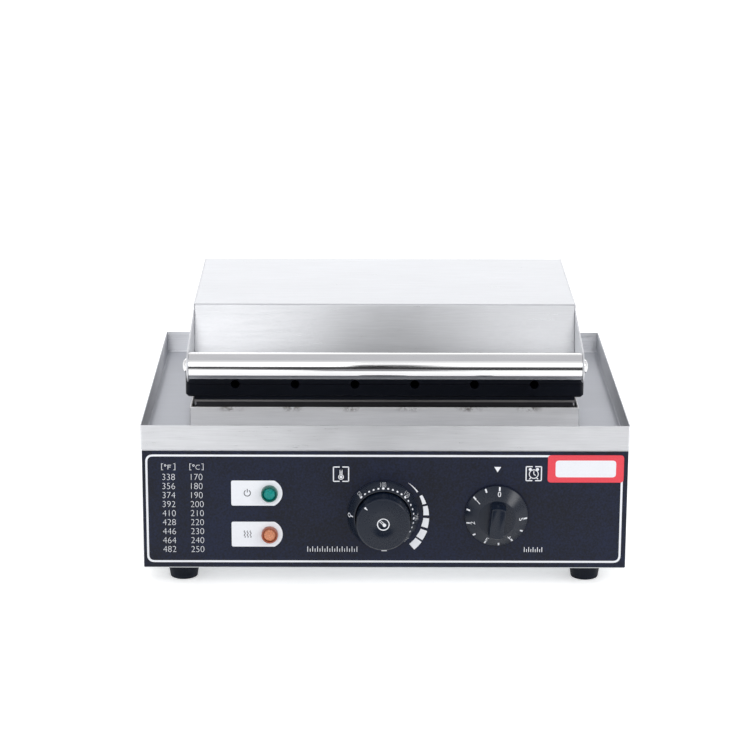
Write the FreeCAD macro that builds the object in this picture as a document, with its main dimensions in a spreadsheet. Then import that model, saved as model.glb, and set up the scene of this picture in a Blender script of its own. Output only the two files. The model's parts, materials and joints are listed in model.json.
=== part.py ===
import FreeCAD
import Part
import math
import os
import re
import Sketcher

# Hot dog waffle maker: a sheet steel base with a printed front, a shallow drip tray, and two
# cast plates that close like a book, the upper one in a hinged hood with a tube handle.
# Frame: X to the right, Y to the back, Z up, in millimetres. The origin is on the surface that
# the feet stand on, under the middle of the base.

# How many cavities lie side by side in each cast plate.
CAVITIES = 6

# Driving sizes in millimetres, angles in degrees. Each is written once and kept in the sheet.
# The cavities set the size of the plates, the plates that of the lid and the tray, and the tray
# that of the casing below it.
SIZES = {
    # rubber feet
    "foot_height": 17.0,
    "foot_radius": 14.0,
    "foot_tip_radius": 11.3,
    "foot_inset_side": 32.0,
    "foot_inset_end": 30.0,
    # base casing
    "cover_sheet": 1.0,
    "cover_inset": 0.6,
    "shell_inset_side": 0.8,
    "shell_inset_end": 0.3,
    "shell_height": 101.6,
    "shell_sheet": 1.0,
    "shell_flange": 14.0,
    "vent_length": 34.0,
    "vent_width": 4.0,
    "vent_pitch": 10.0,
    "vent_offset": 85.0,
    "back_vent_rise": 55.0,
    # printed front panel
    "panel_margin_side": 0.45,
    "panel_margin_top": 1.3,
    "panel_margin_foot": 0.1,
    "panel_sheet": 0.8,
    # drip tray
    "tray_border_side": 33.5,
    "tray_border_front": 61.0,
    "tray_border_back": 39.0,
    "tray_wall": 20.3,
    "tray_sheet": 1.0,
    "tray_corner": 1.6,
    "tray_bend": 1.2,
    "wire_slot_width": 80.0,
    "wire_slot_margin": 1.0,
    # skirt and housing under the lower plate
    "skirt_inset_side": 3.5,
    "skirt_inset_end": 1.5,
    "skirt_height": 16.6,
    "skirt_sheet": 1.5,
    "housing_gap": 2.5,
    "housing_sheet": 1.0,
    # cast plates
    "seam": 0.3,
    "plate_border_side": 17.5,
    "plate_border_front": 37.0,
    "plate_border_back": 13.0,
    "plate_flange": 11.0,
    "plate_corner": 4.0,
    "plate_bevel": 2.0,
    "block_trim": 1.0,
    "block_margin": 5.0,
    "cast_floor": 5.0,
    "cavity_pitch": 50.0,
    "cavity_radius": 17.0,
    "cavity_length": 140.0,
    "rib_height": 2.6,
    "rib_width": 3.0,
    "ridge_half_width": 2.2,
    "stick_radius": 3.75,
    # heating
    "heater_radius": 4.0,
    "heater_inset": 24.0,
    "heater_spread": 40.0,
    "clamp_sheet": 1.5,
    "lower_insulation_height": 4.4,
    "upper_insulation_height": 24.0,
    "insulation_gap": 5.0,
    "insulation_top_gap": 2.1,
    "bulb_radius": 3.0,
    "bulb_length": 80.0,
    "bulb_rise": 6.0,
    # lid
    "hood_inset_side": 6.0,
    "hood_setback": 41.5,
    "hood_lean": 14.1,
    "hood_back_reach": 12.7,
    "hood_sheet": 1.2,
    "hood_bend": 2.4,
    "hood_front_lip": 6.0,
    "hood_back_lip": 23.5,
    "side_sheet": 1.2,
    "side_flange": 10.5,
    "side_flange_lead": 2.5,
    "side_flange_stop": 15.0,
    "arm_end_radius": 13.0,
    "arm_shoulder_drop": 5.0,
    "handle_radius": 11.0,
    "handle_wall": 1.5,
    "handle_reach": 43.3,
    "handle_rise": 28.2,
    # hinge
    "hinge_reach": 20.0,
    "hinge_rise": 4.4,
    "shaft_radius": 5.0,
    "running_clearance": 0.05,
    "ear_radius": 12.0,
    "ear_shoulder": 30.0,
    "bracket_sheet": 3.0,
    "bracket_gap": 3.5,
    "bracket_boss_radius": 8.5,
    "bracket_front_reach": 18.0,
    "bracket_back_reach": 15.0,
    "bracket_foot": 24.0,
    "lid_opening": 95.0,
    "stop_clearance": 0.3,
    "stop_overlap": 1.5,
    # controls on the panel
    "control_rise": 46.7,
    "thermostat_x": -1.5,
    "timer_x": 91.6,
    "hole_clearance": 0.3,
    "spindle_radius": 3.0,
    "spindle_seat": 10.0,
    "bore_end": 0.5,
    "bezel_radius": 29.4,
    "bezel_edge": 1.2,
    "bezel_height": 10.0,
    "knob_radius": 22.2,
    "knob_height": 26.0,
    "knob_clearance": 0.8,
    "thermostat_width": 36.0,
    "thermostat_depth": 28.0,
    "thermostat_tall": 44.0,
    "dial_gap": 1.0,
    "dial_radius": 25.9,
    "dial_edge": 1.5,
    "dial_height": 10.5,
    "dial_top_radius": 15.4,
    "grip_width": 12.5,
    "grip_length": 27.0,
    "grip_height": 14.0,
    "dial_tilt": 5.5,
    "timer_width": 48.0,
    "timer_depth": 34.0,
    # lamps
    "lamp_x": -94.8,
    "power_lamp_rise": 65.3,
    "heat_lamp_rise": 29.7,
    "lens_radius": 7.0,
    "lens_height": 4.6,
    "barrel_width": 9.0,
    "barrel_length": 26.0,
    # mains entry
    "gland_inset": 59.2,
    "gland_rise": 28.0,
    "gland_thread_radius": 9.8,
    "gland_flange_radius": 14.0,
    "gland_flange": 5.0,
    "gland_reach": 28.0,
    "gland_inside": 12.0,
    "gland_nose_radius": 10.5,
    "gland_bore_radius": 4.5,
    "terminal_width": 42.0,
    "terminal_depth": 22.0,
    "terminal_height": 18.0,
    "terminal_x": 90.0,
    "terminal_y": 60.0,
    "terminal_pitch": 12.0,
    "terminal_well": 6.0,
}

# Sizes that follow from the driving ones.
DERIVED = {
    "block_width": f"{CAVITIES} * cavity_pitch - 2 * block_trim",
    "block_depth": "cavity_length + 2 * block_margin",
    "block_half": "block_width / 2",
    "block_reach": "cavity_radius + cast_floor",
    "plate_half": "block_half + plate_border_side",
    "plate_depth": "block_depth + plate_border_front + plate_border_back",
    "tray_half": "plate_half + tray_border_side",
    "tray_rear": "(plate_depth + tray_border_front + tray_border_back) / 2",
    "tray_front": "0 - tray_rear",
    "shell_bottom": "foot_height + cover_sheet",
    "shell_top": "shell_bottom + shell_height",
    "shell_half": "tray_half - shell_inset_side",
    "shell_front": "tray_front + shell_inset_end",
    "shell_rear": "tray_rear - shell_inset_end",
    "panel_half": "shell_half - panel_margin_side",
    "panel_foot": "shell_bottom + panel_margin_foot",
    "panel_top": "shell_top - panel_margin_top",
    "panel_front": "shell_front - panel_sheet",
    "wall_inside": "shell_front + shell_sheet",
    "tray_floor": "shell_top + tray_sheet",
    "plate_front": "tray_front + tray_border_front",
    "plate_back": "plate_front + plate_depth",
    "block_front": "plate_front + plate_border_front",
    "block_back": "block_front + block_depth",
    "block_middle": "block_front + block_depth / 2",
    "cavity_front": "block_front + block_margin",
    "skirt_half": "plate_half - skirt_inset_side",
    "skirt_front": "plate_front + skirt_inset_end",
    "skirt_back": "plate_back - skirt_inset_end",
    "skirt_top": "tray_floor + skirt_height",
    "housing_half": "skirt_half - skirt_sheet - housing_gap",
    "housing_front": "skirt_front + skirt_sheet + housing_gap",
    "housing_back": "skirt_back - skirt_sheet - housing_gap",
    "lower_clamp_bottom": "tray_floor + housing_sheet + lower_insulation_height",
    "lower_clamp_top": "lower_clamp_bottom + clamp_sheet",
    "block_bottom": "lower_clamp_top + 2 * heater_radius",
    "parting": "block_bottom + block_reach",
    "plate_top": "parting + seam / 2 + plate_flange",
    "plate_underside": "parting - seam / 2 - plate_flange",
    "block_top": "parting + block_reach",
    "upper_clamp_bottom": "block_top + 2 * heater_radius",
    "upper_clamp_top": "upper_clamp_bottom + clamp_sheet",
    "insulation_top": "upper_clamp_top + upper_insulation_height",
    "bulb_z": "block_bottom + bulb_rise",
    "hood_half": "plate_half - hood_inset_side",
    "hood_width": "2 * hood_half",
    "hood_front": "plate_front + hood_setback",
    "hood_back": "plate_back + hood_back_reach",
    "hood_top": "insulation_top + insulation_top_gap + hood_sheet",
    "hood_foot": "hood_front - hood_lean",
    "hood_rise": "hood_top - plate_top",
    "hood_slope": "hood_lean / hood_rise",
    "hood_skin_run": "hood_sheet * sqrt(1 + hood_slope * hood_slope)",
    "side_outer": "hood_half + side_sheet",
    "handle_y": "plate_front - handle_reach",
    "handle_z": "parting + handle_rise",
    "hinge_y": "plate_back + hinge_reach",
    "hinge_z": "parting + hinge_rise",
    "bracket_outer": "hood_half - bracket_gap",
    "bracket_inner": "bracket_outer - bracket_sheet",
    "bracket_front": "hinge_y - bracket_front_reach",
    "bracket_back": "hinge_y + bracket_back_reach",
    "control_z": "foot_height + control_rise",
    "knob_back": "knob_clearance",
    "spindle_hole": "spindle_radius + hole_clearance",
    "gland_x": "shell_half - gland_inset",
    "gland_z": "foot_height + gland_rise",
}

doc = FreeCAD.newDocument("hot_dog_waffle_maker")
sheet = doc.addObject("Spreadsheet::Sheet", "Sizes")
for row, (name, size) in enumerate(SIZES.items(), start=1):
    sheet.set(f"A{row}", name)
    sheet.set(f"B{row}", str(size))
    sheet.setAlias(f"B{row}", name)
doc.recompute()

nodes = []


def formula(text):
    """Write a formula of size names so that it reads the sheet's cells."""
    def swap(match):
        word = match.group(0)
        if word in DERIVED:
            return "(" + formula(DERIVED[word]) + ")"
        return "Sizes." + word if word in SIZES else word
    return re.sub(r"[A-Za-z_]+", swap, str(text))


def number(text):
    """Work a formula of size names out."""
    return float(sheet.evalExpression(formula(text)))


def bind(piece, settings):
    """Tie properties of a piece to formulas of size names."""
    for setting, text in settings.items():
        piece.setExpression(setting, formula(text))


def keep(piece, label):
    """Name a finished sub-part and put it on the list of nodes."""
    piece.Label = label
    nodes.append(piece)
    return piece


# Turns that point a piece made along +Z the way its name says.
TURNS = {
    "+x": FreeCAD.Rotation(FreeCAD.Vector(0, 1, 0), 90),
    "-x": FreeCAD.Rotation(FreeCAD.Vector(0, 1, 0), -90),
    "+y": FreeCAD.Rotation(FreeCAD.Vector(1, 0, 0), -90),
    "-y": FreeCAD.Rotation(FreeCAD.Vector(1, 0, 0), 90),
    "+z": FreeCAD.Rotation(),
    "-z": FreeCAD.Rotation(FreeCAD.Vector(1, 0, 0), 180),
}


def place(piece, x, y, z, way="+z", spin=0.0):
    """Stand a piece at a point given by formulas, pointing along an axis."""
    turn = TURNS[way].multiply(FreeCAD.Rotation(FreeCAD.Vector(0, 0, 1), spin))
    piece.Placement = FreeCAD.Placement(FreeCAD.Vector(), turn)
    bind(piece, {"Placement.Base.x": x, "Placement.Base.y": y, "Placement.Base.z": z})
    return piece


# Solids from primitives

def box(name, x, y, z):
    """A box between a low and a high formula along each axis."""
    piece = doc.addObject("Part::Box", name)
    for side, (low, high) in zip(("Length", "Width", "Height"), (x, y, z)):
        bind(piece, {side: f"({high}) - ({low})"})
    return place(piece, x[0], y[0], z[0])


def cylinder(name, x, y, z, way, radius, length):
    piece = doc.addObject("Part::Cylinder", name)
    bind(piece, {"Radius": radius, "Height": length})
    return place(piece, x, y, z, way)


def cone(name, x, y, z, way, first_radius, last_radius, length):
    """A blunt cone, from its first radius to its last."""
    piece = doc.addObject("Part::Cone", name)
    bind(piece, {"Radius1": first_radius, "Radius2": last_radius, "Height": length})
    return place(piece, x, y, z, way)


def hexagon(name, x, y, z, way, flats, length):
    """A six-sided prism of a given size across its flats."""
    piece = doc.addObject("Part::Prism", name)
    piece.Polygon = 6
    bind(piece, {"Circumradius": f"({flats}) / sqrt(3)", "Height": length})
    return place(piece, x, y, z, way)


def join(name, pieces):
    piece = doc.addObject("Part::MultiFuse", name)
    piece.Shapes = pieces
    return piece


def group(name, pieces):
    piece = doc.addObject("Part::Compound", name)
    piece.Links = pieces
    return piece


def cut(name, blank, tools):
    """Take one or more tools away from a blank."""
    piece = doc.addObject("Part::Cut", name)
    piece.Base = blank
    piece.Tool = tools[0] if len(tools) == 1 else join(name + "_tools", tools)
    return piece


# Solids from sketches

def origin_plane(body, role):
    return [feature for feature in body.Origin.OriginFeatures if feature.Role == role][0]


def new_sketch(body, name, role, lift="0", rise="0"):
    """A sketch on one of a body's own planes, lifted along its normal and raised within it."""
    sketch = body.newObject("Sketcher::SketchObject", name)
    sketch.AttachmentSupport = [(origin_plane(body, role), "")]
    sketch.MapMode = "FlatFace"
    bind(sketch, {"AttachmentOffset.Base.z": lift, "AttachmentOffset.Base.y": rise})
    return sketch


def pin_point(sketch, item, end, u, v):
    """Hold one point of a sketch at two formulas."""
    for kind, text in (("DistanceX", u), ("DistanceY", v)):
        rule = sketch.addConstraint(Sketcher.Constraint(kind, -1, 1, item, end, number(text)))
        sketch.setExpression(f"Constraints[{rule}]", formula(text))


def set_radius(sketch, item, text):
    rule = sketch.addConstraint(Sketcher.Constraint("Radius", item, number(text)))
    sketch.setExpression(f"Constraints[{rule}]", formula(text))


def circle(sketch, u, v, radius):
    centre = FreeCAD.Vector(number(u), number(v), 0)
    normal = FreeCAD.Vector(0, 0, 1)
    item = sketch.addGeometry(Part.Circle(centre, normal, number(radius)))
    pin_point(sketch, item, 3, u, v)
    set_radius(sketch, item, radius)


def touch_point(corner, centre, radius, side):
    """Where a line from a corner touches a circle that lies on one side of it."""
    across = centre - corner
    reach = math.sqrt(across.Length ** 2 - radius ** 2)
    turn = side * math.asin(radius / across.Length)
    along = FreeCAD.Vector(
        across.x * math.cos(turn) - across.y * math.sin(turn),
        across.x * math.sin(turn) + across.y * math.cos(turn),
        0,
    )
    return corner + along * (reach / across.Length)


def outline(sketch, marks):
    """A closed outline, counter-clockwise, of corners (u, v) and rounds (u, v, radius).

    A round is an arc about its centre that the lines beside it touch. Its neighbours are corners.
    """
    spots = [FreeCAD.Vector(number(mark[0]), number(mark[1]), 0) for mark in marks]
    count = len(marks)
    arrive = list(spots)
    leave = list(spots)
    for index, mark in enumerate(marks):
        if len(mark) == 3:
            radius = number(mark[2])
            arrive[index] = touch_point(spots[index - 1], spots[index], radius, -1)
            leave[index] = touch_point(spots[(index + 1) % count], spots[index], radius, 1)
    lines = []
    arcs = {}
    for index, mark in enumerate(marks):
        if len(mark) == 3:
            first = arrive[index] - spots[index]
            last = leave[index] - spots[index]
            start = math.atan2(first.y, first.x)
            stop = math.atan2(last.y, last.x)
            ring = Part.Circle(spots[index], FreeCAD.Vector(0, 0, 1), number(mark[2]))
            arcs[index] = sketch.addGeometry(Part.ArcOfCircle(ring, start, stop))
        line = Part.LineSegment(leave[index], arrive[(index + 1) % count])
        lines.append(sketch.addGeometry(line))
    for index, mark in enumerate(marks):
        before = lines[index - 1]
        after = lines[index]
        if index in arcs:
            sketch.addConstraint(Sketcher.Constraint("Tangent", before, 2, arcs[index], 1))
            sketch.addConstraint(Sketcher.Constraint("Tangent", arcs[index], 2, after, 1))
            pin_point(sketch, arcs[index], 3, mark[0], mark[1])
            set_radius(sketch, arcs[index], mark[2])
        else:
            sketch.addConstraint(Sketcher.Constraint("Coincident", before, 2, after, 1))
            pin_point(sketch, after, 1, mark[0], mark[1])


def rectangle(sketch, u, v):
    """A rectangle between a low and a high formula each way."""
    outline(sketch, [(u[0], v[0]), (u[1], v[0]), (u[1], v[1]), (u[0], v[1])])


def feature(body, kind, name, sketch, settings=None, backwards=False):
    """A sketch-based feature, with its sizes tied to formulas."""
    piece = body.newObject("PartDesign::" + kind, name)
    piece.Profile = sketch
    piece.Reversed = backwards
    bind(piece, settings or {})
    body.Tip = piece
    doc.recompute()
    return piece


def soften(body, kind, name, base, radius, chosen):
    """Round or bevel the edges of a feature that a test picks out."""
    names = [f"Edge{place}" for place, edge in enumerate(base.Shape.Edges, start=1) if chosen(edge)]
    piece = body.newObject("PartDesign::" + kind, name)
    piece.Base = (base, names)
    bind(piece, {"Radius" if kind == "Fillet" else "Size": radius})
    body.Tip = piece
    doc.recompute()
    return piece


def turned(name, profile):
    """A body turned about its own Z from (height, radius) corners."""
    body = doc.addObject("PartDesign::Body", name)
    sketch = new_sketch(body, name + "_profile", "XZ_Plane")
    outline(sketch, [(radius, height) for height, radius in profile])
    revolve = body.newObject("PartDesign::Revolution", name + "_turning")
    revolve.Profile = sketch
    revolve.ReferenceAxis = (sketch, ["V_Axis"])
    revolve.Angle = 360
    body.Tip = revolve
    doc.recompute()
    return body


# Places that several pieces share

LEFT = -1
RIGHT = 1
SIDES = ((LEFT, "left"), (RIGHT, "right"))
LAMP_RISES = {"power": "foot_height + power_lamp_rise", "heat": "foot_height + heat_lamp_rise"}


def mirrored(text, side):
    """A formula for X at the right, or its mirror at the left."""
    return f"{side} * ({text})"


def span(low, high, side):
    """A span of X at the right, or its mirror at the left."""
    return (low, high) if side == RIGHT else (f"0 - ({high})", f"0 - ({low})")


def lamp_square(z, width):
    """The spans of X and Z of a square about a lamp's middle."""
    half = f"({width}) / 2"
    return (f"lamp_x - {half}", f"lamp_x + {half}"), (f"{z} - {half}", f"{z} + {half}")


# Feet, narrower where they stand

feet = [
    cone(f"foot_{label}_{end}", mirrored("tray_half - foot_inset_side", side),
         f"{end} * (tray_rear - foot_inset_end)", "0", "+z", "foot_tip_radius", "foot_radius",
         "foot_height")
    for side, label in SIDES
    for end in (-1, 1)
]
keep(group("rubber_feet", feet), "rubber_feet")


# Bottom cover with its vents

COVER_VENTS = 5
BACK_VENTS = 9


def vent_shift(place_in_row, count):
    """How far one slot of a row is from the row's middle."""
    return f"({place_in_row} - {(count - 1) / 2}) * vent_pitch"


cover_blank = box(
    "bottom_cover_blank",
    ("cover_inset - shell_half", "shell_half - cover_inset"),
    ("shell_front + cover_inset", "shell_rear - cover_inset"),
    ("foot_height", "shell_bottom"),
)
cover_vents = [
    box(
        f"cover_vent_{label}_{count}",
        (f"{mirrored('vent_offset', side)} - vent_length / 2",
         f"{mirrored('vent_offset', side)} + vent_length / 2"),
        (f"{vent_shift(count, COVER_VENTS)} - vent_width / 2",
         f"{vent_shift(count, COVER_VENTS)} + vent_width / 2"),
        ("foot_height", "shell_bottom"),
    )
    for side, label in SIDES
    for count in range(COVER_VENTS)
]
keep(cut("bottom_cover", cover_blank, cover_vents), "bottom_cover")


# Base shell: four walls with flanges turned in at the top and the bottom

shell_blank = box(
    "base_shell_blank",
    ("0 - shell_half", "shell_half"),
    ("shell_front", "shell_rear"),
    ("shell_bottom", "shell_top"),
)
shell_cuts = [
    box(
        "base_shell_inside",
        ("shell_sheet - shell_half", "shell_half - shell_sheet"),
        ("wall_inside", "shell_rear - shell_sheet"),
        ("shell_bottom + shell_sheet", "shell_top - shell_sheet"),
    ),
    box(
        "base_shell_opening",
        ("shell_flange - shell_half", "shell_half - shell_flange"),
        ("shell_front + shell_flange", "shell_rear - shell_flange"),
        ("shell_bottom", "shell_top"),
    ),
    cylinder("shell_gland_hole", "gland_x", "shell_rear", "gland_z", "-y",
             "gland_thread_radius + hole_clearance", "shell_sheet"),
]
for name, x in (("thermostat", "thermostat_x"), ("timer", "timer_x")):
    shell_cuts.append(cylinder(f"shell_{name}_hole", x, "shell_front", "control_z", "+y",
                               "spindle_hole", "shell_sheet"))
for name, z in LAMP_RISES.items():
    across, up = lamp_square(z, "barrel_width + 2 * hole_clearance")
    shell_cuts.append(box(f"shell_{name}_lamp_hole", across, ("shell_front", "wall_inside"), up))
for count in range(BACK_VENTS):
    shell_cuts.append(box(
        f"back_vent_{count}",
        (f"{vent_shift(count, BACK_VENTS)} - vent_width / 2",
         f"{vent_shift(count, BACK_VENTS)} + vent_width / 2"),
        ("shell_rear - shell_sheet", "shell_rear"),
        ("foot_height + back_vent_rise - vent_length / 2", "foot_height + back_vent_rise + vent_length / 2"),
    ))
keep(cut("base_shell", shell_blank, shell_cuts), "base_shell")


# Printed front panel

panel = doc.addObject("PartDesign::Body", "control_panel")
panel_face = new_sketch(panel, "panel_face", "XZ_Plane", "0 - shell_front")
rectangle(panel_face, ("0 - panel_half", "panel_half"), ("panel_foot", "panel_top"))
feature(panel, "Pad", "panel_pad", panel_face, {"Length": "panel_sheet"})
panel_holes = new_sketch(panel, "panel_holes", "XZ_Plane", "0 - panel_front")
for x in ("thermostat_x", "timer_x"):
    circle(panel_holes, x, "control_z", "spindle_hole")
for z in LAMP_RISES.values():
    rectangle(panel_holes, *lamp_square(z, "barrel_width + 2 * hole_clearance"))
feature(panel, "Pocket", "panel_piercing", panel_holes, {"Length": "panel_sheet"})
keep(panel, "control_panel")


# Drip tray

WIRE_SLOT = (
    ("0 - wire_slot_width / 2", "wire_slot_width / 2"),
    ("block_back + wire_slot_margin", "housing_back - housing_sheet - wire_slot_margin"),
)


def upright(edge):
    return abs(edge.tangentAt(edge.FirstParameter).z) > 0.5


tray = doc.addObject("PartDesign::Body", "drip_tray")
tray_plan = new_sketch(tray, "tray_plan", "XY_Plane", "shell_top")
rectangle(tray_plan, ("0 - tray_half", "tray_half"), ("tray_front", "tray_rear"))
tray_pad = feature(tray, "Pad", "tray_pad", tray_plan, {"Length": "tray_wall"})
soften(tray, "Fillet", "tray_corners", tray_pad, "tray_corner", upright)
tray_inside = new_sketch(tray, "tray_inside", "XY_Plane", "shell_top + tray_wall")
rectangle(tray_inside,
          ("tray_sheet - tray_half", "tray_half - tray_sheet"),
          ("tray_front + tray_sheet", "tray_rear - tray_sheet"))
tray_pan = feature(tray, "Pocket", "tray_pan", tray_inside, {"Length": "tray_wall - tray_sheet"})


def level_at(height):
    """A test for the level edges at one height."""
    def test(edge):
        return edge.BoundBox.ZLength < 1e-4 and abs(edge.BoundBox.ZMin - number(height)) < 1e-4
    return test


soften(tray, "Fillet", "tray_bends", tray_pan, "tray_bend", level_at("tray_floor"))
tray_slot = new_sketch(tray, "tray_slot", "XY_Plane", "tray_floor")
rectangle(tray_slot, *WIRE_SLOT)
feature(tray, "Pocket", "tray_piercing", tray_slot, {"Length": "tray_sheet"})
keep(tray, "drip_tray")


# Skirt round the lower plate, and the housing that carries the plate

skirt_blank = box("skirt_blank", ("0 - skirt_half", "skirt_half"), ("skirt_front", "skirt_back"),
                  ("tray_floor", "skirt_top"))
skirt_inside = box("skirt_inside",
                   ("skirt_sheet - skirt_half", "skirt_half - skirt_sheet"),
                   ("skirt_front + skirt_sheet", "skirt_back - skirt_sheet"),
                   ("tray_floor", "skirt_top"))
keep(cut("pedestal_skirt", skirt_blank, [skirt_inside]), "pedestal_skirt")

housing_blank = box("housing_blank", ("0 - housing_half", "housing_half"),
                    ("housing_front", "housing_back"), ("tray_floor", "plate_underside"))
housing_inside = box("housing_inside",
                     ("housing_sheet - housing_half", "housing_half - housing_sheet"),
                     ("housing_front + housing_sheet", "housing_back - housing_sheet"),
                     ("tray_floor + housing_sheet", "plate_underside"))
housing_slot = box("housing_slot", *WIRE_SLOT, ("tray_floor", "tray_floor + housing_sheet"))
keep(cut("lower_housing", housing_blank, [housing_inside, housing_slot]), "lower_housing")


# Cast plates: a flange, a deep block, six six-sided cavities crossed by ribs, and stick channels

CELLS = 4
FACETS = 3
DOWN = -1
UP = 1
CELL_LENGTH = f"(cavity_length - {CELLS - 1} * rib_width) / {CELLS}"


def cavity_middle(count):
    return f"({count} - {(CAVITIES - 1) / 2}) * cavity_pitch"


def cavity_half(sketch, middle, radius, way, ridge):
    """Half of a six-sided bore, open at the parting face, with or without a ridge on its bottom."""
    turn = 180 / FACETS
    rim = [
        (f"{middle} - ({radius}) * cos({turn * corner})", f"{way} * ({radius}) * sin({turn * corner})")
        for corner in range(FACETS + 1)
    ]
    if ridge:
        bottom = f"{way} * ({radius}) * cos({turn / 2})"
        crest = f"{way} * (({radius}) * cos({turn / 2}) - rib_height)"
        rim[2:2] = [
            (f"{middle} - ridge_half_width", bottom),
            (middle, crest),
            (f"{middle} + ridge_half_width", bottom),
        ]
    outline(sketch, rim if way == DOWN else rim[::-1])


def cast_plate(name, way, flange_low, outer_face, block_low, block_length):
    body = doc.addObject("PartDesign::Body", name)
    plan = new_sketch(body, name + "_plan", "XY_Plane", flange_low)
    rectangle(plan, ("0 - plate_half", "plate_half"), ("plate_front", "plate_back"))
    flange = feature(body, "Pad", name + "_flange", plan, {"Length": "plate_flange"})
    corners = soften(body, "Fillet", name + "_corners", flange, "plate_corner", upright)
    soften(body, "Chamfer", name + "_bevel", corners, "plate_bevel", level_at(outer_face))
    block_plan = new_sketch(body, name + "_block_plan", "XY_Plane", block_low)
    rectangle(block_plan, ("0 - block_half", "block_half"), ("block_front", "block_back"))
    feature(body, "Pad", name + "_block", block_plan, {"Length": block_length})
    troughs = new_sketch(body, name + "_troughs", "XZ_Plane", "0 - cavity_front", "parting")
    cells = new_sketch(body, name + "_cell_ends", "XZ_Plane", "0 - cavity_front", "parting")
    sticks = new_sketch(body, name + "_stick_ends", "XZ_Plane", "0 - plate_front")
    for count in range(CAVITIES):
        middle = cavity_middle(count)
        cavity_half(troughs, middle, "cavity_radius - rib_height", way, False)
        cavity_half(cells, middle, "cavity_radius", way, True)
        circle(sticks, middle, "parting", "stick_radius")
    feature(body, "Pocket", name + "_cavities", troughs, {"Length": "cavity_length"})
    cell = feature(body, "Pocket", name + "_cells", cells, {"Length": CELL_LENGTH})
    row = body.newObject("PartDesign::LinearPattern", name + "_cell_rows")
    row.Originals = [cell]
    row.Direction = (origin_plane(body, "Y_Axis"), [""])
    row.Mode = "Spacing"
    row.Occurrences = CELLS
    bind(row, {"Offset": f"{CELL_LENGTH} + rib_width"})
    body.Tip = row
    doc.recompute()
    feature(body, "Pocket", name + "_channels", sticks, {"Length": "cavity_front - plate_front"})
    return body


lower_plate = cast_plate("lower_plate", DOWN, "plate_underside", "plate_underside", "block_bottom",
                         "plate_underside - block_bottom")
bulb_mouth = new_sketch(lower_plate, "bulb_mouth", "XZ_Plane", "0 - block_back")
circle(bulb_mouth, "thermostat_x", "bulb_z", "bulb_radius + hole_clearance")
feature(lower_plate, "Pocket", "bulb_hole", bulb_mouth, {"Length": "bulb_length + bore_end"}, True)
keep(lower_plate, "lower_plate")
keep(cast_plate("upper_plate", UP, "parting + seam / 2", "plate_top", "plate_top",
                "block_top - plate_top"), "upper_plate")
keep(cylinder("sensor_bulb", "thermostat_x", "block_back", "bulb_z", "-y", "bulb_radius",
              "bulb_length"), "sensor_bulb")


# Heater rods, the clamps that press them on the plates, and the insulation behind

def heater_pair(name, z):
    rods = [
        cylinder(f"{name}_{label}", "heater_inset - block_half", f"block_middle + {side} * heater_spread",
                 z, "+x", "heater_radius", "block_width - 2 * heater_inset")
        for side, label in SIDES
    ]
    return keep(group(name, rods), name)


def layer(name, y, z):
    """A flat layer as wide as the plates' blocks."""
    return keep(box(name, ("0 - block_half", "block_half"), y, z), name)


heater_pair("lower_heater", "block_bottom - heater_radius")
heater_pair("upper_heater", "block_top + heater_radius")
BLOCK_DEPTH = ("block_front", "block_back")
layer("lower_clamp", BLOCK_DEPTH, ("lower_clamp_bottom", "lower_clamp_top"))
layer("upper_clamp", BLOCK_DEPTH, ("upper_clamp_bottom", "upper_clamp_top"))
layer("lower_insulation", BLOCK_DEPTH, ("tray_floor + housing_sheet", "lower_clamp_bottom"))
layer("upper_insulation", ("hood_front + insulation_gap", "block_back"),
      ("upper_clamp_top", "insulation_top"))


# Hood: one bent sheet that makes the lid's front, top and back

hood = doc.addObject("PartDesign::Body", "lid_hood")
hood_side = new_sketch(hood, "hood_side", "YZ_Plane", "0 - hood_half")
outline(hood_side, [
    ("hood_foot", "plate_top"),
    ("hood_back", "plate_top"),
    ("hood_back", "hood_top"),
    ("hood_front", "hood_top"),
])
feature(hood, "Pad", "hood_pad", hood_side, {"Length": "hood_width"})
hood_inside = new_sketch(hood, "hood_inside", "YZ_Plane", "hood_half")
outline(hood_inside, [
    ("hood_foot + hood_skin_run + hood_slope * hood_sheet", "plate_top + hood_sheet"),
    ("hood_back - hood_sheet", "plate_top + hood_sheet"),
    ("hood_back - hood_sheet", "hood_top - hood_sheet"),
    ("hood_front + hood_skin_run - hood_slope * hood_sheet", "hood_top - hood_sheet"),
])
feature(hood, "Pocket", "hood_shell", hood_inside, {"Length": "hood_width"})
hood_mouth = new_sketch(hood, "hood_mouth", "XY_Plane", "plate_top + hood_sheet")
rectangle(hood_mouth, ("0 - hood_half", "hood_half"),
          ("hood_foot + hood_front_lip", "hood_back - hood_back_lip"))
hood_open = feature(hood, "Pocket", "hood_open", hood_mouth, {"Length": "hood_sheet"})


def long_edge_at(height):
    """A test for the edges that run the hood's whole width at one height."""
    level = level_at(height)
    return lambda edge: level(edge) and edge.BoundBox.XLength > number("hood_half")


hood_bends = soften(hood, "Fillet", "hood_outer_bends", hood_open, "hood_bend", long_edge_at("hood_top"))
soften(hood, "Fillet", "hood_inner_bends", hood_bends, "hood_bend - hood_sheet",
       long_edge_at("hood_top - hood_sheet"))
keep(hood, "lid_hood")


# Side plates: they close the hood, reach forward as arms to the handle and back as hinge ears

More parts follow.
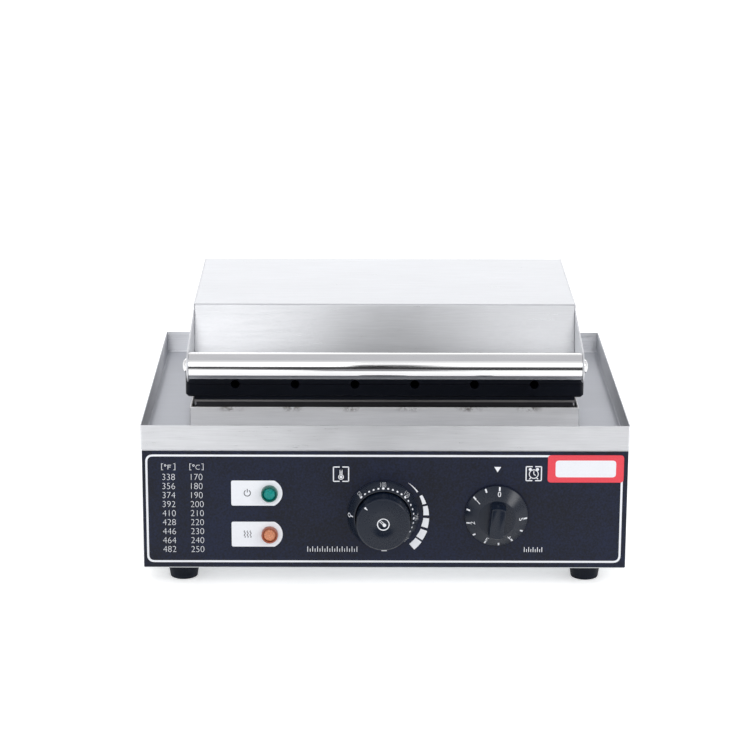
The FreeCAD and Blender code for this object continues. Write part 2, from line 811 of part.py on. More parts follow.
def side_plate(side, label):
    name = f"lid_side_{label}"
    sheet_span = span("hood_half", "side_outer", side)
    body = doc.addObject("PartDesign::Body", name)
    shape = new_sketch(body, name + "_outline", "YZ_Plane", sheet_span[0])
    outline(shape, [
        ("hood_foot", "plate_top"),
        ("hinge_y - ear_radius", "plate_top"),
        ("hinge_y", "hinge_z", "ear_radius"),
        ("hood_back", "hinge_z + ear_shoulder"),
        ("hood_back", "hood_top"),
        ("hood_front", "hood_top"),
        ("hood_front - hood_slope * arm_shoulder_drop", "hood_top - arm_shoulder_drop"),
        ("handle_y", "handle_z", "arm_end_radius"),
    ])
    feature(body, "Pad", name + "_sheet", shape, {"Length": "side_sheet"})
    tab = new_sketch(body, name + "_tab", "XY_Plane", "plate_top")
    rectangle(tab, span("hood_half - side_flange", "hood_half", side),
              ("hood_front - side_flange_lead", "plate_back - side_flange_stop"))
    feature(body, "Pad", name + "_flange", tab, {"Length": "side_sheet"})
    return keep(body, name)


for side, label in SIDES:
    side_plate(side, label)


# Handle: a tube between the arms

def bar_between_sides(name, y, z, radius):
    """A round bar from one side plate to the other."""
    return cylinder(name, "0 - hood_half", y, z, "+x", radius, "hood_width")


tube_blank = bar_between_sides("tube_blank", "handle_y", "handle_z", "handle_radius")
tube_bore = bar_between_sides("tube_bore", "handle_y", "handle_z", "handle_radius - handle_wall")
keep(cut("handle_tube", tube_blank, [tube_bore]), "handle_tube")


# Hinge: a shaft fixed between the side plates turns in two brackets on the tray

def stop_top():
    """How high the stop stands so that it just clears the side plate's tail in the open lid."""
    hinge = FreeCAD.Vector(number("hinge_y"), number("hinge_z"), 0)
    shoulder = FreeCAD.Vector(number("hood_back"), number("hinge_z + ear_shoulder"), 0)
    touch = touch_point(shoulder, hinge, number("ear_radius"), 1)
    swing = FreeCAD.Rotation(FreeCAD.Vector(0, 0, 1), -number("lid_opening"))
    shoulder_open = hinge + swing.multVec(shoulder - hinge)
    touch_open = hinge + swing.multVec(touch - hinge)
    rise = (shoulder_open.y - touch_open.y) / (shoulder_open.x - touch_open.x)
    stop_edge = number("bracket_back - bracket_sheet")
    return touch_open.y + rise * (stop_edge - touch_open.x) - number("stop_clearance")


def hinge_bracket(side, label):
    name = f"hinge_bracket_{label}"
    cheek_span = span("bracket_inner", "bracket_outer", side)
    body = doc.addObject("PartDesign::Body", name)
    shape = new_sketch(body, name + "_outline", "YZ_Plane", cheek_span[0])
    outline(shape, [
        ("bracket_front", "tray_floor"),
        ("bracket_back", "tray_floor"),
        ("hinge_y", "hinge_z", "bracket_boss_radius"),
    ])
    feature(body, "Pad", name + "_cheek", shape, {"Length": "bracket_sheet"})
    foot = new_sketch(body, name + "_foot", "XY_Plane", "tray_floor")
    rectangle(foot, span("bracket_outer - bracket_foot", "bracket_outer", side),
              ("bracket_front", "bracket_back"))
    feature(body, "Pad", name + "_base", foot, {"Length": "bracket_sheet"})
    stop = new_sketch(body, name + "_stop_plan", "XY_Plane", "tray_floor")
    rectangle(stop, span("bracket_inner", "side_outer + stop_overlap", side),
              ("bracket_back - bracket_sheet", "bracket_back"))
    stop_pad = feature(body, "Pad", name + "_stop", stop)
    stop_pad.Length = stop_top() - number("tray_floor")
    eye = new_sketch(body, name + "_eye", "YZ_Plane", cheek_span[1])
    circle(eye, "hinge_y", "hinge_z", "shaft_radius + running_clearance")
    feature(body, "Pocket", name + "_eye_hole", eye, {"Length": "bracket_sheet"})
    return keep(body, name)


for side, label in SIDES:
    hinge_bracket(side, label)
keep(bar_between_sides("hinge_shaft", "hinge_y", "hinge_z", "shaft_radius"), "hinge_shaft")


# Thermostat: dial ring, knob, spindle and switch body

bezel = turned("thermostat_bezel", [
    ("0", "knob_radius + knob_clearance"),
    ("0", "bezel_radius"),
    ("bezel_edge", "bezel_radius"),
    ("bezel_height", "knob_radius + knob_clearance"),
])
keep(place(bezel, "thermostat_x", "panel_front", "control_z", "-y"), "thermostat_bezel")

knob = turned("thermostat_knob", [
    ("knob_back", "0"),
    ("knob_back", "knob_radius"),
    ("knob_height", "knob_radius"),
    ("knob_height", "0"),
])
keep(place(knob, "thermostat_x", "panel_front", "control_z", "-y"), "thermostat_knob")


def spindle(name, x, back):
    """A round shaft from inside the switch to the back of its knob."""
    length = f"spindle_seat + wall_inside - panel_front + {back}"
    return keep(cylinder(name, x, "wall_inside + spindle_seat", "control_z", "-y", "spindle_radius",
                         length), name)


def switch_body(name, x, width, depth, tall):
    """A switch's case behind the wall, with the bore that its spindle turns in."""
    case = box(
        name + "_case",
        (f"{x} - {width} / 2", f"{x} + {width} / 2"),
        ("wall_inside", f"wall_inside + {depth}"),
        (f"control_z - {tall} / 2", f"control_z + {tall} / 2"),
    )
    bore = cylinder(name + "_bore", x, "wall_inside", "control_z", "+y",
                    "spindle_radius + running_clearance", "spindle_seat + bore_end")
    return keep(cut(name, case, [bore]), name)


spindle("thermostat_spindle", "thermostat_x", "knob_back")
switch_body("thermostat_body", "thermostat_x", "thermostat_width", "thermostat_depth", "thermostat_tall")


# Timer: dial with its finger grip, spindle and case

dial = turned("timer_dial", [
    ("dial_gap", "0"),
    ("dial_gap", "dial_radius"),
    ("dial_gap + dial_edge", "dial_radius"),
    ("dial_height", "dial_top_radius"),
    ("dial_height", "0"),
])
grip_plan = new_sketch(dial, "grip_plan", "XY_Plane", "dial_height")
rectangle(grip_plan, ("0 - grip_width / 2", "grip_width / 2"), ("0 - grip_length / 2", "grip_length / 2"))
feature(dial, "Pad", "grip", grip_plan, {"Length": "grip_height"})
place(dial, "timer_x", "panel_front", "control_z", "-y", -SIZES["dial_tilt"])
keep(dial, "timer_dial")
spindle("timer_spindle", "timer_x", "dial_gap")
switch_body("timer_body", "timer_x", "timer_width", "timer_depth", "timer_width")


# Signal lamps: a round lens with the square barrel that snaps in the panel

for name, z in LAMP_RISES.items():
    lens = cylinder(f"{name}_lens", "lamp_x", "panel_front", z, "-y", "lens_radius", "lens_height")
    across, up = lamp_square(z, "barrel_width")
    barrel = box(f"{name}_barrel", across, ("panel_front", "panel_front + barrel_length"), up)
    keep(join(f"{name}_lamp", [lens, barrel]), f"{name}_lamp")


# Mains entry: the cord's gland, and the terminal block on the bottom cover

gland_flange = hexagon("gland_flange", "gland_x", "shell_rear", "gland_z", "+y",
                       "2 * gland_flange_radius", "gland_flange")
gland_nose = cylinder("gland_nose", "gland_x", "shell_rear + gland_flange", "gland_z", "+y",
                      "gland_nose_radius", "gland_reach - gland_flange")
gland_thread = cylinder("gland_thread", "gland_x", "shell_rear", "gland_z", "-y", "gland_thread_radius",
                        "gland_inside")
gland_blank = join("gland_blank", [gland_flange, gland_nose, gland_thread])
gland_bore = cylinder("gland_bore", "gland_x", "shell_rear - gland_inside", "gland_z", "+y",
                      "gland_bore_radius", "gland_inside + gland_reach")
keep(cut("cord_gland", gland_blank, [gland_bore]), "cord_gland")

TERMINAL_TOP = "shell_bottom + terminal_height"
terminal_blank = box(
    "terminal_blank",
    ("terminal_x - terminal_width / 2", "terminal_x + terminal_width / 2"),
    ("terminal_y - terminal_depth / 2", "terminal_y + terminal_depth / 2"),
    ("shell_bottom", TERMINAL_TOP),
)
wells = [
    box(
        f"terminal_well_{step + 1}",
        (f"terminal_x + {step} * terminal_pitch - terminal_well / 2",
         f"terminal_x + {step} * terminal_pitch + terminal_well / 2"),
        ("terminal_y - terminal_well / 2", "terminal_y + terminal_well / 2"),
        (f"{TERMINAL_TOP} - terminal_well", TERMINAL_TOP),
    )
    for step in (-1, 0, 1)
]
keep(cut("terminal_block", terminal_blank, wells), "terminal_block")


# Check every object and sub-part, then write each sub-part's file

doc.recompute()
for item in doc.Objects:
    faults = [state for state in item.State if state in ("Invalid", "Error")]
    if faults:
        raise SystemExit(f"{item.Name} is {faults[0]}")
for piece in nodes:
    if piece.Shape.isNull() or not piece.Shape.isValid():
        raise SystemExit(f"{piece.Label} has no valid shape")
os.makedirs("parts", exist_ok=True)
for piece in nodes:
    piece.Shape.exportStep(f"parts/{piece.Label}.step")
print(len(nodes), "sub-parts written")
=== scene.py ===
import json
import math

import bmesh
import bpy
from mathutils import Matrix, Vector


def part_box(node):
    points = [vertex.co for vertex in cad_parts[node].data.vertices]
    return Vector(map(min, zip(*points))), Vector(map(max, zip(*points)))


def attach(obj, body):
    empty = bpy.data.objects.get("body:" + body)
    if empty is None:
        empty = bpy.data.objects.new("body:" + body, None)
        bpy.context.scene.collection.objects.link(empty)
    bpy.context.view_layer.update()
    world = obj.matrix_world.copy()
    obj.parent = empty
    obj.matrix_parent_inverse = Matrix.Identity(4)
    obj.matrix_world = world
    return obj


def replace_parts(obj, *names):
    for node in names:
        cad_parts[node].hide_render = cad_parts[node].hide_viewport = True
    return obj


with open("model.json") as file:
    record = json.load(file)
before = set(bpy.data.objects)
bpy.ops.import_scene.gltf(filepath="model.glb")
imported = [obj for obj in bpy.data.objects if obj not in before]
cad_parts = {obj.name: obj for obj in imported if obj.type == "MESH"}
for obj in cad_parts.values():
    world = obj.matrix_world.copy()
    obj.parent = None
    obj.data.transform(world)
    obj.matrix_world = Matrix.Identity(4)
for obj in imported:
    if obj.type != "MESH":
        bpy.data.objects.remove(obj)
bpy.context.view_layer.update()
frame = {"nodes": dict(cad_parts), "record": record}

# Lengths are in millimetres and angles in degrees, and MM turns lengths into metres.
# Places of the lamps, the cards and the camera are in metres.
MM = 0.001


# Places that the frame gives

def middle(node):
    """The middle of a CAD node's box."""
    low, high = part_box(node)
    return (low + high) / 2


PANEL_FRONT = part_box("control_panel")[0].y
# The print's heights are measured from a line a little above the film's lower edge.
PANEL_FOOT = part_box("control_panel")[0].z + 0.8 * MM


def on_front(node):
    """The middle of a CAD node's box, moved to the front of the panel."""
    return Vector((middle(node).x, PANEL_FRONT, middle(node).z))


def height_on_panel(place):
    """How far a place lies above the line that the print is measured from."""
    return (place.z - PANEL_FOOT) / MM


THERMOSTAT = on_front("thermostat_bezel")
TIMER = on_front("timer_spindle")
THERMOSTAT_U = THERMOSTAT.x / MM
THERMOSTAT_V = height_on_panel(THERMOSTAT)


# Small tools for meshes

# For each way that a piece can face: along it, and across and up as seen from there
WAYS = {
    "-y": ((0, -1, 0), (1, 0, 0), (0, 0, 1)),
    "+x": ((1, 0, 0), (0, 1, 0), (0, 0, 1)),
    "-x": ((-1, 0, 0), (0, -1, 0), (0, 0, 1)),
    "+z": ((0, 0, 1), (1, 0, 0), (0, 1, 0)),
    "-z": ((0, 0, -1), (1, 0, 0), (0, -1, 0)),
}
PRINT_DEPTH = 0.05
# The largest share of a straight run that a rounded corner takes
CORNER_SHARE = 0.45


def linked(name, data):
    """A new object of the scene that holds this data."""
    made = bpy.data.objects.new(name, data)
    bpy.context.scene.collection.objects.link(made)
    return made


def piece(name, bm, body, finish, sharp=35):
    """Close a mesh under construction as a piece of the object that rides on a body."""
    bmesh.ops.recalc_face_normals(bm, faces=bm.faces)
    mesh = bpy.data.meshes.new(name)
    bm.to_mesh(mesh)
    bm.free()
    for face in mesh.polygons:
        face.use_smooth = True
    mesh.set_sharp_from_angle(angle=math.radians(sharp))
    mesh.materials.append(finish)
    made = linked(name, mesh)
    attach(made, body)
    return made


def softened(points, radius, closed=False, steps=4):
    """The same run of points with its corners rounded."""
    run = [Vector(point) for point in points]
    if closed:
        corners = list(zip([run[-1]] + run[:-1], run, run[1:] + [run[0]]))
    else:
        corners = list(zip(run, run[1:], run[2:]))
    result = [] if closed else [run[0]]
    for before, corner, after in corners:
        back = before - corner
        ahead = after - corner
        half_turn = back.angle(ahead) / 2
        room = CORNER_SHARE * min(back.length, ahead.length)
        reach = min(radius / math.tan(half_turn), room)
        start = corner + back.normalized() * reach
        end = corner + ahead.normalized() * reach
        for step in range(steps + 1):
            t = step / steps
            result.append(start * (1 - t) ** 2 + corner * (2 * t * (1 - t)) + end * t ** 2)
    if not closed:
        result.append(run[-1])
    return result


def walled(bm, first, second):
    """Faces between two closed loops of as many corners."""
    for step in range(len(first)):
        following = (step + 1) % len(first)
        bm.faces.new((first[step], first[following], second[following], second[step]))


def turned(bm, profile, centre, way, steps=96, closed=False):
    """Turn a profile of heights and radii about an axis through centre."""
    along, across, up = (Vector(arm) for arm in WAYS[way])
    rings = []
    for height, radius in profile:
        foot = centre + along * (height * MM)
        if radius == 0:
            rings.append([bm.verts.new(foot)])
            continue
        ring = []
        for step in range(steps):
            angle = 2 * math.pi * step / steps
            spoke = across * math.cos(angle) + up * math.sin(angle)
            ring.append(bm.verts.new(foot + spoke * (radius * MM)))
        rings.append(ring)
    pairs = list(zip(rings, rings[1:]))
    if closed:
        pairs.append((rings[-1], rings[0]))
    for first, second in pairs:
        if len(first) == len(second):
            walled(bm, first, second)
            continue
        for step in range(steps):
            following = (step + 1) % steps
            if len(first) == 1:
                bm.faces.new((first[0], second[step], second[following]))
            else:
                bm.faces.new((first[step], first[following], second[0]))


def on_panel(u, v, w):
    """A point u to the right of the middle, v above the print's line and w ahead of the film."""
    return Vector((u * MM, PANEL_FRONT - w * MM, PANEL_FOOT + v * MM))


def slab(bm, loop, place=on_panel, thickness=PRINT_DEPTH, lift=0.0):
    """A thin closed solid whose outline is a loop of points on a surface."""
    low = [bm.verts.new(place(u, v, lift)) for u, v in loop]
    high = [bm.verts.new(place(u, v, lift + thickness)) for u, v in loop]
    bm.faces.new(high)
    bm.faces.new(low[::-1])
    walled(bm, low, high)


def band(bm, outer, inner, place=on_panel):
    """A printed frame between two loops of as many points."""
    rows = [
        [bm.verts.new(place(u, v, rise)) for u, v in loop]
        for rise in (0.0, PRINT_DEPTH)
        for loop in (outer, inner)
    ]
    low_outer, low_inner, high_outer, high_inner = rows
    walled(bm, low_outer, low_inner)
    walled(bm, high_inner, high_outer)
    walled(bm, low_inner, high_inner)
    walled(bm, high_outer, low_outer)


def boxed(low_u, high_u, low_v, high_v):
    """The four corners of an upright rectangle."""
    return [(low_u, low_v), (high_u, low_v), (high_u, high_v), (low_u, high_v)]


def on_circle(radius, angle, centre=(0, 0)):
    """The point of a circle at an angle in radians."""
    return centre[0] + radius * math.cos(angle), centre[1] + radius * math.sin(angle)


def circle(radius, centre=(0, 0), steps=32):
    """Points round a circle."""
    return [on_circle(radius, 2 * math.pi * step / steps, centre) for step in range(steps)]


def shifted(points, u, v):
    """The same points moved by u and v."""
    return [(point[0] + u, point[1] + v) for point in points]


def stroke(bm, start, end, width, place=on_panel, lift=0.0):
    """A straight printed line between two points."""
    a = Vector(start)
    b = Vector(end)
    side = (b - a).orthogonal().normalized() * (width / 2)
    slab(bm, [a - side, b - side, b + side, a + side], place, lift=lift)


def traced(bm, points, width, lift):
    """Lines on the panel from each point to the next."""
    for start, end in zip(points, points[1:]):
        stroke(bm, start, end, width, lift=lift)


# Width of one digit of the built-in type as a share of its size, and how much its lines are thinned
DIGIT_WIDTH = 0.55
TYPE_WEIGHT = -0.024


def numerals(bm, text, centre, size, place=on_panel, weight=TYPE_WEIGHT):
    """Plain type of a given width and height, centred on a point of a surface.

    The width is that of full digits, so that a narrow figure such as 1 stays narrow.
    """
    curve = bpy.data.curves.new("type", "FONT")
    curve.body = text
    curve.extrude = 1.0
    curve.offset = weight
    holder = linked("type", curve)
    bpy.context.view_layer.update()
    mesh = bpy.data.meshes.new_from_object(holder.evaluated_get(bpy.context.evaluated_depsgraph_get()))
    places = [vertex.co for vertex in mesh.vertices]
    low = Vector((min(p.x for p in places), min(p.y for p in places)))
    high = Vector((max(p.x for p in places), max(p.y for p in places)))
    full_width = DIGIT_WIDTH * len(text) if text.isdigit() else high.x - low.x
    mid = (low.x + high.x) / 2
    made = []
    for p in places:
        u = centre[0] + size[0] * (p.x - mid) / full_width
        v = centre[1] + size[1] * ((p.y - low.y) / (high.y - low.y) - 0.5)
        made.append(bm.verts.new(place(u, v, PRINT_DEPTH * (p.z + 1.0) / 2)))
    for face in mesh.polygons:
        bm.faces.new([made[index] for index in face.vertices])
    bpy.data.objects.remove(holder)
    bpy.data.curves.remove(curve)
    bpy.data.meshes.remove(mesh)


def on_cone(centre, turn, top_height, top_radius, foot_height, foot_radius):
    """Places on a cone about -Y: u goes round it clockwise, v down its slope from its top edge."""
    slope = Vector((foot_height - top_height, foot_radius - top_radius))
    run = slope.normalized()
    out = Vector((run.y, -run.x))

    def place(u, v, w):
        height, radius = Vector((top_height, top_radius)) + run * v + out * w
        angle = math.radians(turn) + u / radius
        return centre + Vector((math.sin(angle) * radius, -height, math.cos(angle) * radius)) * MM
    return place


def outward(place, slope):
    """The same places with v counted outward from one line of the slope."""
    return lambda u, v, w: place(u, slope + v, w)


def turned_points(points, turn):
    """The same points turned clockwise about the origin."""
    angle = math.radians(turn)
    return [
        (u * math.cos(angle) + v * math.sin(angle), v * math.cos(angle) - u * math.sin(angle))
        for u, v in points
    ]


# Finishes

def give(tree, socket, value):
    """Set a socket to a constant, or link it to another socket or to a node's first output."""
    if isinstance(value, bpy.types.Node):
        value = value.outputs[0]
    if isinstance(value, bpy.types.NodeSocket):
        tree.links.new(value, socket)
    else:
        socket.default_value = value


def wired(tree, kind, *sources, **values):
    """A new node whose first inputs take these sources.

    Values named in small letters are the node's settings, and the others go to its inputs.
    """
    node = tree.nodes.new(kind)
    for name, value in values.items():
        if name.islower():
            setattr(node, name, value)
    for socket, value in zip(node.inputs, sources):
        give(tree, socket, value)
    for name, value in values.items():
        if not name.islower():
            give(tree, node.inputs[name.replace("_", " ")], value)
    return node


# Where the Mix node has the first of its two inputs, and its output, for each kind of data
MIX_SOCKETS = {"VECTOR": (4, 1), "RGBA": (6, 2)}


class Finish:
    """Short ways to build the node tree of one material."""

    def __init__(self, name, colour, roughness, **sockets):
        self.material = bpy.data.materials.new(name)
        self.material.use_nodes = True
        self.tree = self.material.node_tree
        self.shader = self.tree.nodes["Principled BSDF"]
        self.set("Base Color", (*colour, 1))
        self.set("Roughness", roughness)
        for socket, value in sockets.items():
            self.set(socket.replace("_", " "), value)
        self.place = self.add("ShaderNodeTexCoord").outputs["Object"]

    def add(self, kind, *sources, **values):
        return wired(self.tree, kind, *sources, **values)

    def set(self, socket, value):
        give(self.tree, self.shader.inputs[socket], value)

    def parts(self, source):
        """The three parts of a vector."""
        return self.add("ShaderNodeSeparateXYZ", source).outputs

    def normal(self):
        """The three parts of the surface's normal."""
        return self.parts(self.add("ShaderNodeNewGeometry").outputs["Normal"])

    def vector(self, *parts):
        """A vector of up to three parts."""
        return self.add("ShaderNodeCombineXYZ", *parts)

    def noise(self, source, cells, detail=3.0, rough=0.55):
        """Noise with one number of cells per metre, or with one for each axis."""
        if isinstance(cells, tuple):
            source = self.add("ShaderNodeVectorMath", source, cells, operation="MULTIPLY")
            cells = 1.0
        return self.add("ShaderNodeTexNoise", source, Scale=cells, Detail=detail, Roughness=rough)

    def spread(self, source, low, high, start=0.3, end=0.7):
        """A value that runs from low to high while its source runs from start to end."""
        return self.add("ShaderNodeMapRange", source, From_Min=start, From_Max=end, To_Min=low,
                        To_Max=high)

    def maths(self, operation, first, second=0.0):
        return self.add("ShaderNodeMath", first, second, operation=operation)

    def product(self, *values):
        """All the values multiplied, in their order."""
        result = values[0]
        for value in values[1:]:
            result = self.maths("MULTIPLY", result, value)
        return result

    def rest(self, share):
        """What a share leaves of one."""
        return self.maths("SUBTRACT", 1.0, share)

    def size(self, source):
        """A value without its sign."""
        return self.maths("ABSOLUTE", source)

    def mix(self, kind, share, first, second):
        """A vector or colour between two."""
        node = self.add("ShaderNodeMix", share, data_type=kind)
        inputs, output = MIX_SOCKETS[kind]
        give(self.tree, node.inputs[inputs], first)
        give(self.tree, node.inputs[inputs + 1], second)
        return node.outputs[output]

    def blend(self, share, first, second):
        """A colour between two, where the second is a constant."""
        if isinstance(first, tuple):
            first = (*first, 1)
        return self.mix("RGBA", share, first, (*second, 1))

    def bump(self, height, depth):
        """Fine relief of a given depth."""
        self.set("Normal", self.add("ShaderNodeBump", Strength=1.0, Distance=depth * MM, Height=height))


def grained(finish):
    """Coordinates whose first axis always lies along the sheet's grain."""
    faces_side = finish.spread(finish.size(finish.normal()[0]), 0.0, 1.0, 0.7, 0.71)
    along_x, along_y, along_z = finish.parts(finish.place)
    # The grain runs along X, and along Y on faces that look to a side.
    finish.set("Tangent", finish.vector(finish.rest(faces_side), faces_side))
    swapped = finish.vector(along_y, along_x, along_z)
    return finish.mix("VECTOR", faces_side, finish.place, swapped)


# A brushed sheet blurs reflections across its grain, a quarter turn from the tangent.
ACROSS_GRAIN = 0.25
# Noise cells per metre along, across and through a sheet
FINE_GRAIN = (60, 2400, 2400)
BROAD_GRAIN = (22, 420, 420)
SMUDGES = (9, 14, 14)
GRAIN_DARK = 0.10
GRAIN_LIGHT = 0.08
GRAIN_DEPTH = 0.012
SMUDGE_DARK = 0.05
SMUDGE_ROUGH = 0.02
# Inside the pan the sheet is rougher, and its floor and side walls are painted darker as shade; its
# walls run from painted shade at the front to painted light at the back.
PAN_SHADE_COLOUR = (0.435, 0.446, 0.480)
DULL_ROUGHNESS = 0.12
WALL_SHADE = 0.55
WALL_LIGHT = 1.30


def brushed_steel(name, colour, roughness, anisotropy=0.95, grain=1.0, wear=1.0, inside=None,
                  stains=None, low_shade=None):
    """Sheet steel with a fine grain along it, smudges and worn spots.

    Inside is the half width and half depth, in metres, within which the sheet is rougher and painted
    darker as shade, its walls painted from shade at the front to light at the back. Stains and low_shade
    are the measures that heat_stains and painted_low_shade take, for a sheet that has them.
    """
    steel = Finish(name, colour, roughness, Metallic=1.0, Anisotropic=anisotropy,
                   Anisotropic_Rotation=ACROSS_GRAIN)
    place = grained(steel)
    fine = steel.noise(place, FINE_GRAIN, detail=2.0)
    broad = steel.noise(place, BROAD_GRAIN, detail=4.0)
    smudge = steel.noise(place, SMUDGES, detail=5.0)
    streaks = steel.maths("ADD", steel.product(fine, 0.5), steel.product(broad, 0.5))
    tone = steel.product(steel.spread(streaks, 1 - GRAIN_DARK * grain, 1 + GRAIN_LIGHT * grain),
                         steel.spread(smudge, 1 - SMUDGE_DARK * wear, 1.0))
    rough = steel.maths("ADD", steel.spread(streaks, roughness - 0.05, roughness + 0.07),
                        steel.spread(smudge, 0.0, SMUDGE_ROUGH * wear))
    base = colour
    if inside:
        spot = steel.parts(steel.place)
        normal = steel.normal()
        within = steel.product(*[
            steel.maths("LESS_THAN", steel.size(spot[axis]), inside[axis]) for axis in (0, 1)
        ])
        side_or_up = steel.maths("MAXIMUM", steel.size(normal[0]), normal[2])
        dull_and_shade = steel.product(within, steel.spread(side_or_up, 0.0, 1.0, 0.2, 0.6))
        rough = steel.maths("ADD", rough, steel.spread(dull_and_shade, 0.0, DULL_ROUGHNESS, 0.0, 1.0))
        # Painted shade: the floor and side walls inside the pan get a darker colour.
        base = steel.blend(dull_and_shade, colour, PAN_SHADE_COLOUR)
        # Painted shade at the front of the pan's walls, running to painted light at the back.
        wall = steel.product(within, steel.rest(steel.size(normal[2])))
        painted_wall_shading = steel.spread(spot[1], WALL_SHADE, WALL_LIGHT, -inside[1], inside[1])
        tone = steel.product(tone, steel.maths("ADD", steel.product(wall, painted_wall_shading), steel.rest(wall)))
    # Painted shade near the foot of the sheet, in its middle.
    if low_shade:
        tone = steel.product(tone, painted_low_shade(steel, *low_shade))
    steel.set("Base Color", steel.add("ShaderNodeVectorMath", base, operation="SCALE", Scale=tone))
    steel.set("Roughness", rough)
    steel.bump(streaks, GRAIN_DEPTH * grain)
    if stains:
        heat_stains(steel, *stains)
    return steel.material


# How dark the painted shade near the foot of the hood gets.
LOW_SHADE_TONE = 0.72


def painted_low_shade(steel, foot, head, narrow, wide):
    """Painted shade: a darker tone near the foot of a sheet, in its middle, standing in for a dark
    reflection there.
    """
    where = steel.parts(steel.place)
    along = steel.spread(steel.size(where[0]), 1.0, 0.0, narrow, wide)
    low = steel.spread(where[2], 1.0, 0.0, foot, head)
    return steel.spread(steel.product(along, low), 1.0, LOW_SHADE_TONE, 0.0, 1.0)


STAIN_COLOUR = (0.085, 0.045, 0.030)
STAIN_COVER = 0.85
# How far a stain is from the middle of its place, and where it is full and ends, in pitches
STAIN_SHIFT = 0.08
STAIN_FULL = 0.03
STAIN_END = 0.24
# How far below the top edge the stains end and are full
STAIN_FOOT = 4.5
STAIN_HEAD = 0.8


def heat_stains(steel, top, pitch, places):
    """Small brown spots baked on just below the top edge, under each of the places along X."""
    where = steel.parts(steel.place)
    along = steel.maths("ADD", steel.maths("DIVIDE", where[0], pitch), places / 2 + STAIN_SHIFT)
    aside = steel.size(steel.maths("SUBTRACT", steel.maths("FRACT", along), 0.5))
    near = steel.spread(aside, 1.0, 0.0, STAIN_FULL, STAIN_END)
    high = steel.spread(where[2], 0.0, 1.0, top - STAIN_FOOT * MM, top - STAIN_HEAD * MM)
    spots = steel.noise(steel.place, (520, 520, 620), rough=0.7)
    drops = steel.noise(steel.place, (95, 95, 60), detail=2.0)
    cover = steel.product(near, high, steel.spread(steel.product(spots, drops), 0.0, 1.0, 0.19, 0.34))
    clean = steel.shader.inputs["Base Color"].links[0].from_socket
    steel.set("Base Color", steel.blend(steel.product(cover, STAIN_COVER), clean, STAIN_COLOUR))


PATCH_CELLS = 24.0
PATCH_SHARE = 0.4


def plain_coat(name, colour, roughness, speck=0.2, cells=900, depth=0.01, gloss=0.5, metal=0.0):
    """A coat, film or moulding with a fine even texture and faint patches."""
    coat = Finish(name, colour, roughness, Specular_IOR_Level=gloss, Metallic=metal)
    grain = coat.noise(coat.place, cells, detail=2.0)
    patch = coat.noise(coat.place, PATCH_CELLS, detail=4.0)
    light = tuple(min(1.0, part * (1 + speck)) for part in colour)
    dark = tuple(part * (1 - speck) for part in colour)
    mottle = coat.maths("ADD", coat.product(patch, PATCH_SHARE), coat.product(grain, 1 - PATCH_SHARE))
    coat.set("Base Color", coat.blend(coat.spread(mottle, 0.0, 1.0, 0.38, 0.62), dark, light))
    coat.set("Roughness", coat.maths("ADD", coat.spread(grain, roughness - 0.04, roughness + 0.04),
                                     coat.spread(patch, -0.03, 0.05)))
    coat.bump(grain, depth)
    return coat.material


CAVITIES = 6
CAVITY_PITCH = 50.0
# The tray's inner walls lie further than this inside its box.
TRAY_WALL = 0.6
tray_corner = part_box("drip_tray")[1]
pan_inside = (tray_corner.x - TRAY_WALL * MM, tray_corner.y - TRAY_WALL * MM)
hood_low, hood_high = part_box("lid_hood")
# Where the hood's painted shade lies: its foot and head heights, and the half widths where it is full
# and where it ends.
hood_low_shade = (hood_low.z + 8 * MM, hood_high.z - 1 * MM, 30 * MM, 130 * MM)
skirt_stains = (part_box("pedestal_skirt")[1].z, CAVITY_PITCH * MM, CAVITIES)

brushed = brushed_steel("brushed_sheet", (0.66, 0.67, 0.695), 0.31)
pan_sheet = brushed_steel("brushed_pan", (0.70, 0.71, 0.735), 0.28, wear=2.6, inside=pan_inside)
hood_sheet = brushed_steel("brushed_hood", (0.68, 0.69, 0.715), 0.30, wear=2.0, low_shade=hood_low_shade)
# The skirt's steel is painted much lighter than the other sheets: painted light on a face that sits in
# shade under the plates.
skirt_sheet = brushed_steel("skirt_sheet", (0.94, 0.94, 0.95), 0.46, anisotropy=0.5, grain=0.6,
                            stains=skirt_stains)
# The housing under the lower plate is painted near black: painted shade in the recess between the plate
# and the skirt.
grey_sheet = brushed_steel("grey_sheet", (0.045, 0.045, 0.05), 0.42, grain=0.5)
bead_steel = brushed_steel("bead_steel", (0.26, 0.25, 0.25), 0.34, grain=0.5)
zinc = brushed_steel("zinc_sheet", (0.56, 0.58, 0.60), 0.45, anisotropy=0.0, grain=0.4, wear=2.0)
polished = brushed_steel("polished_tube", (0.72, 0.72, 0.73), 0.08, anisotropy=0.0, grain=0.15)
shaft_steel = brushed_steel("steel_shaft", (0.60, 0.60, 0.61), 0.25, anisotropy=0.2, grain=0.5)
screw_steel = brushed_steel("screw_steel", (0.74, 0.74, 0.75), 0.20, anisotropy=0.0, grain=0.4)
film = plain_coat("printed_film", (0.0042, 0.0072, 0.0220), 0.52, speck=0.6, cells=620,
                  gloss=0.27)
casting = plain_coat("coated_casting", (0.0012, 0.0028, 0.0080), 0.42, cells=1500, depth=0.03,
                     gloss=0.20)
rubber = plain_coat("black_rubber", (0.003, 0.0055, 0.013), 0.62, speck=0.5, cells=1000,
                    depth=0.05, gloss=0.20)
black_plastic = plain_coat("black_plastic", (0.004, 0.0085, 0.020), 0.28, speck=0.1, cells=1600,
                           depth=0.006, gloss=0.34)
grey_plastic = plain_coat("grey_plastic", (0.035, 0.036, 0.040), 0.50)
switch_plastic = plain_coat("switch_plastic", (0.62, 0.60, 0.54), 0.48, speck=0.06)
wool = plain_coat("mineral_wool", (0.60, 0.56, 0.45), 0.95, speck=0.15, cells=420, depth=0.6)
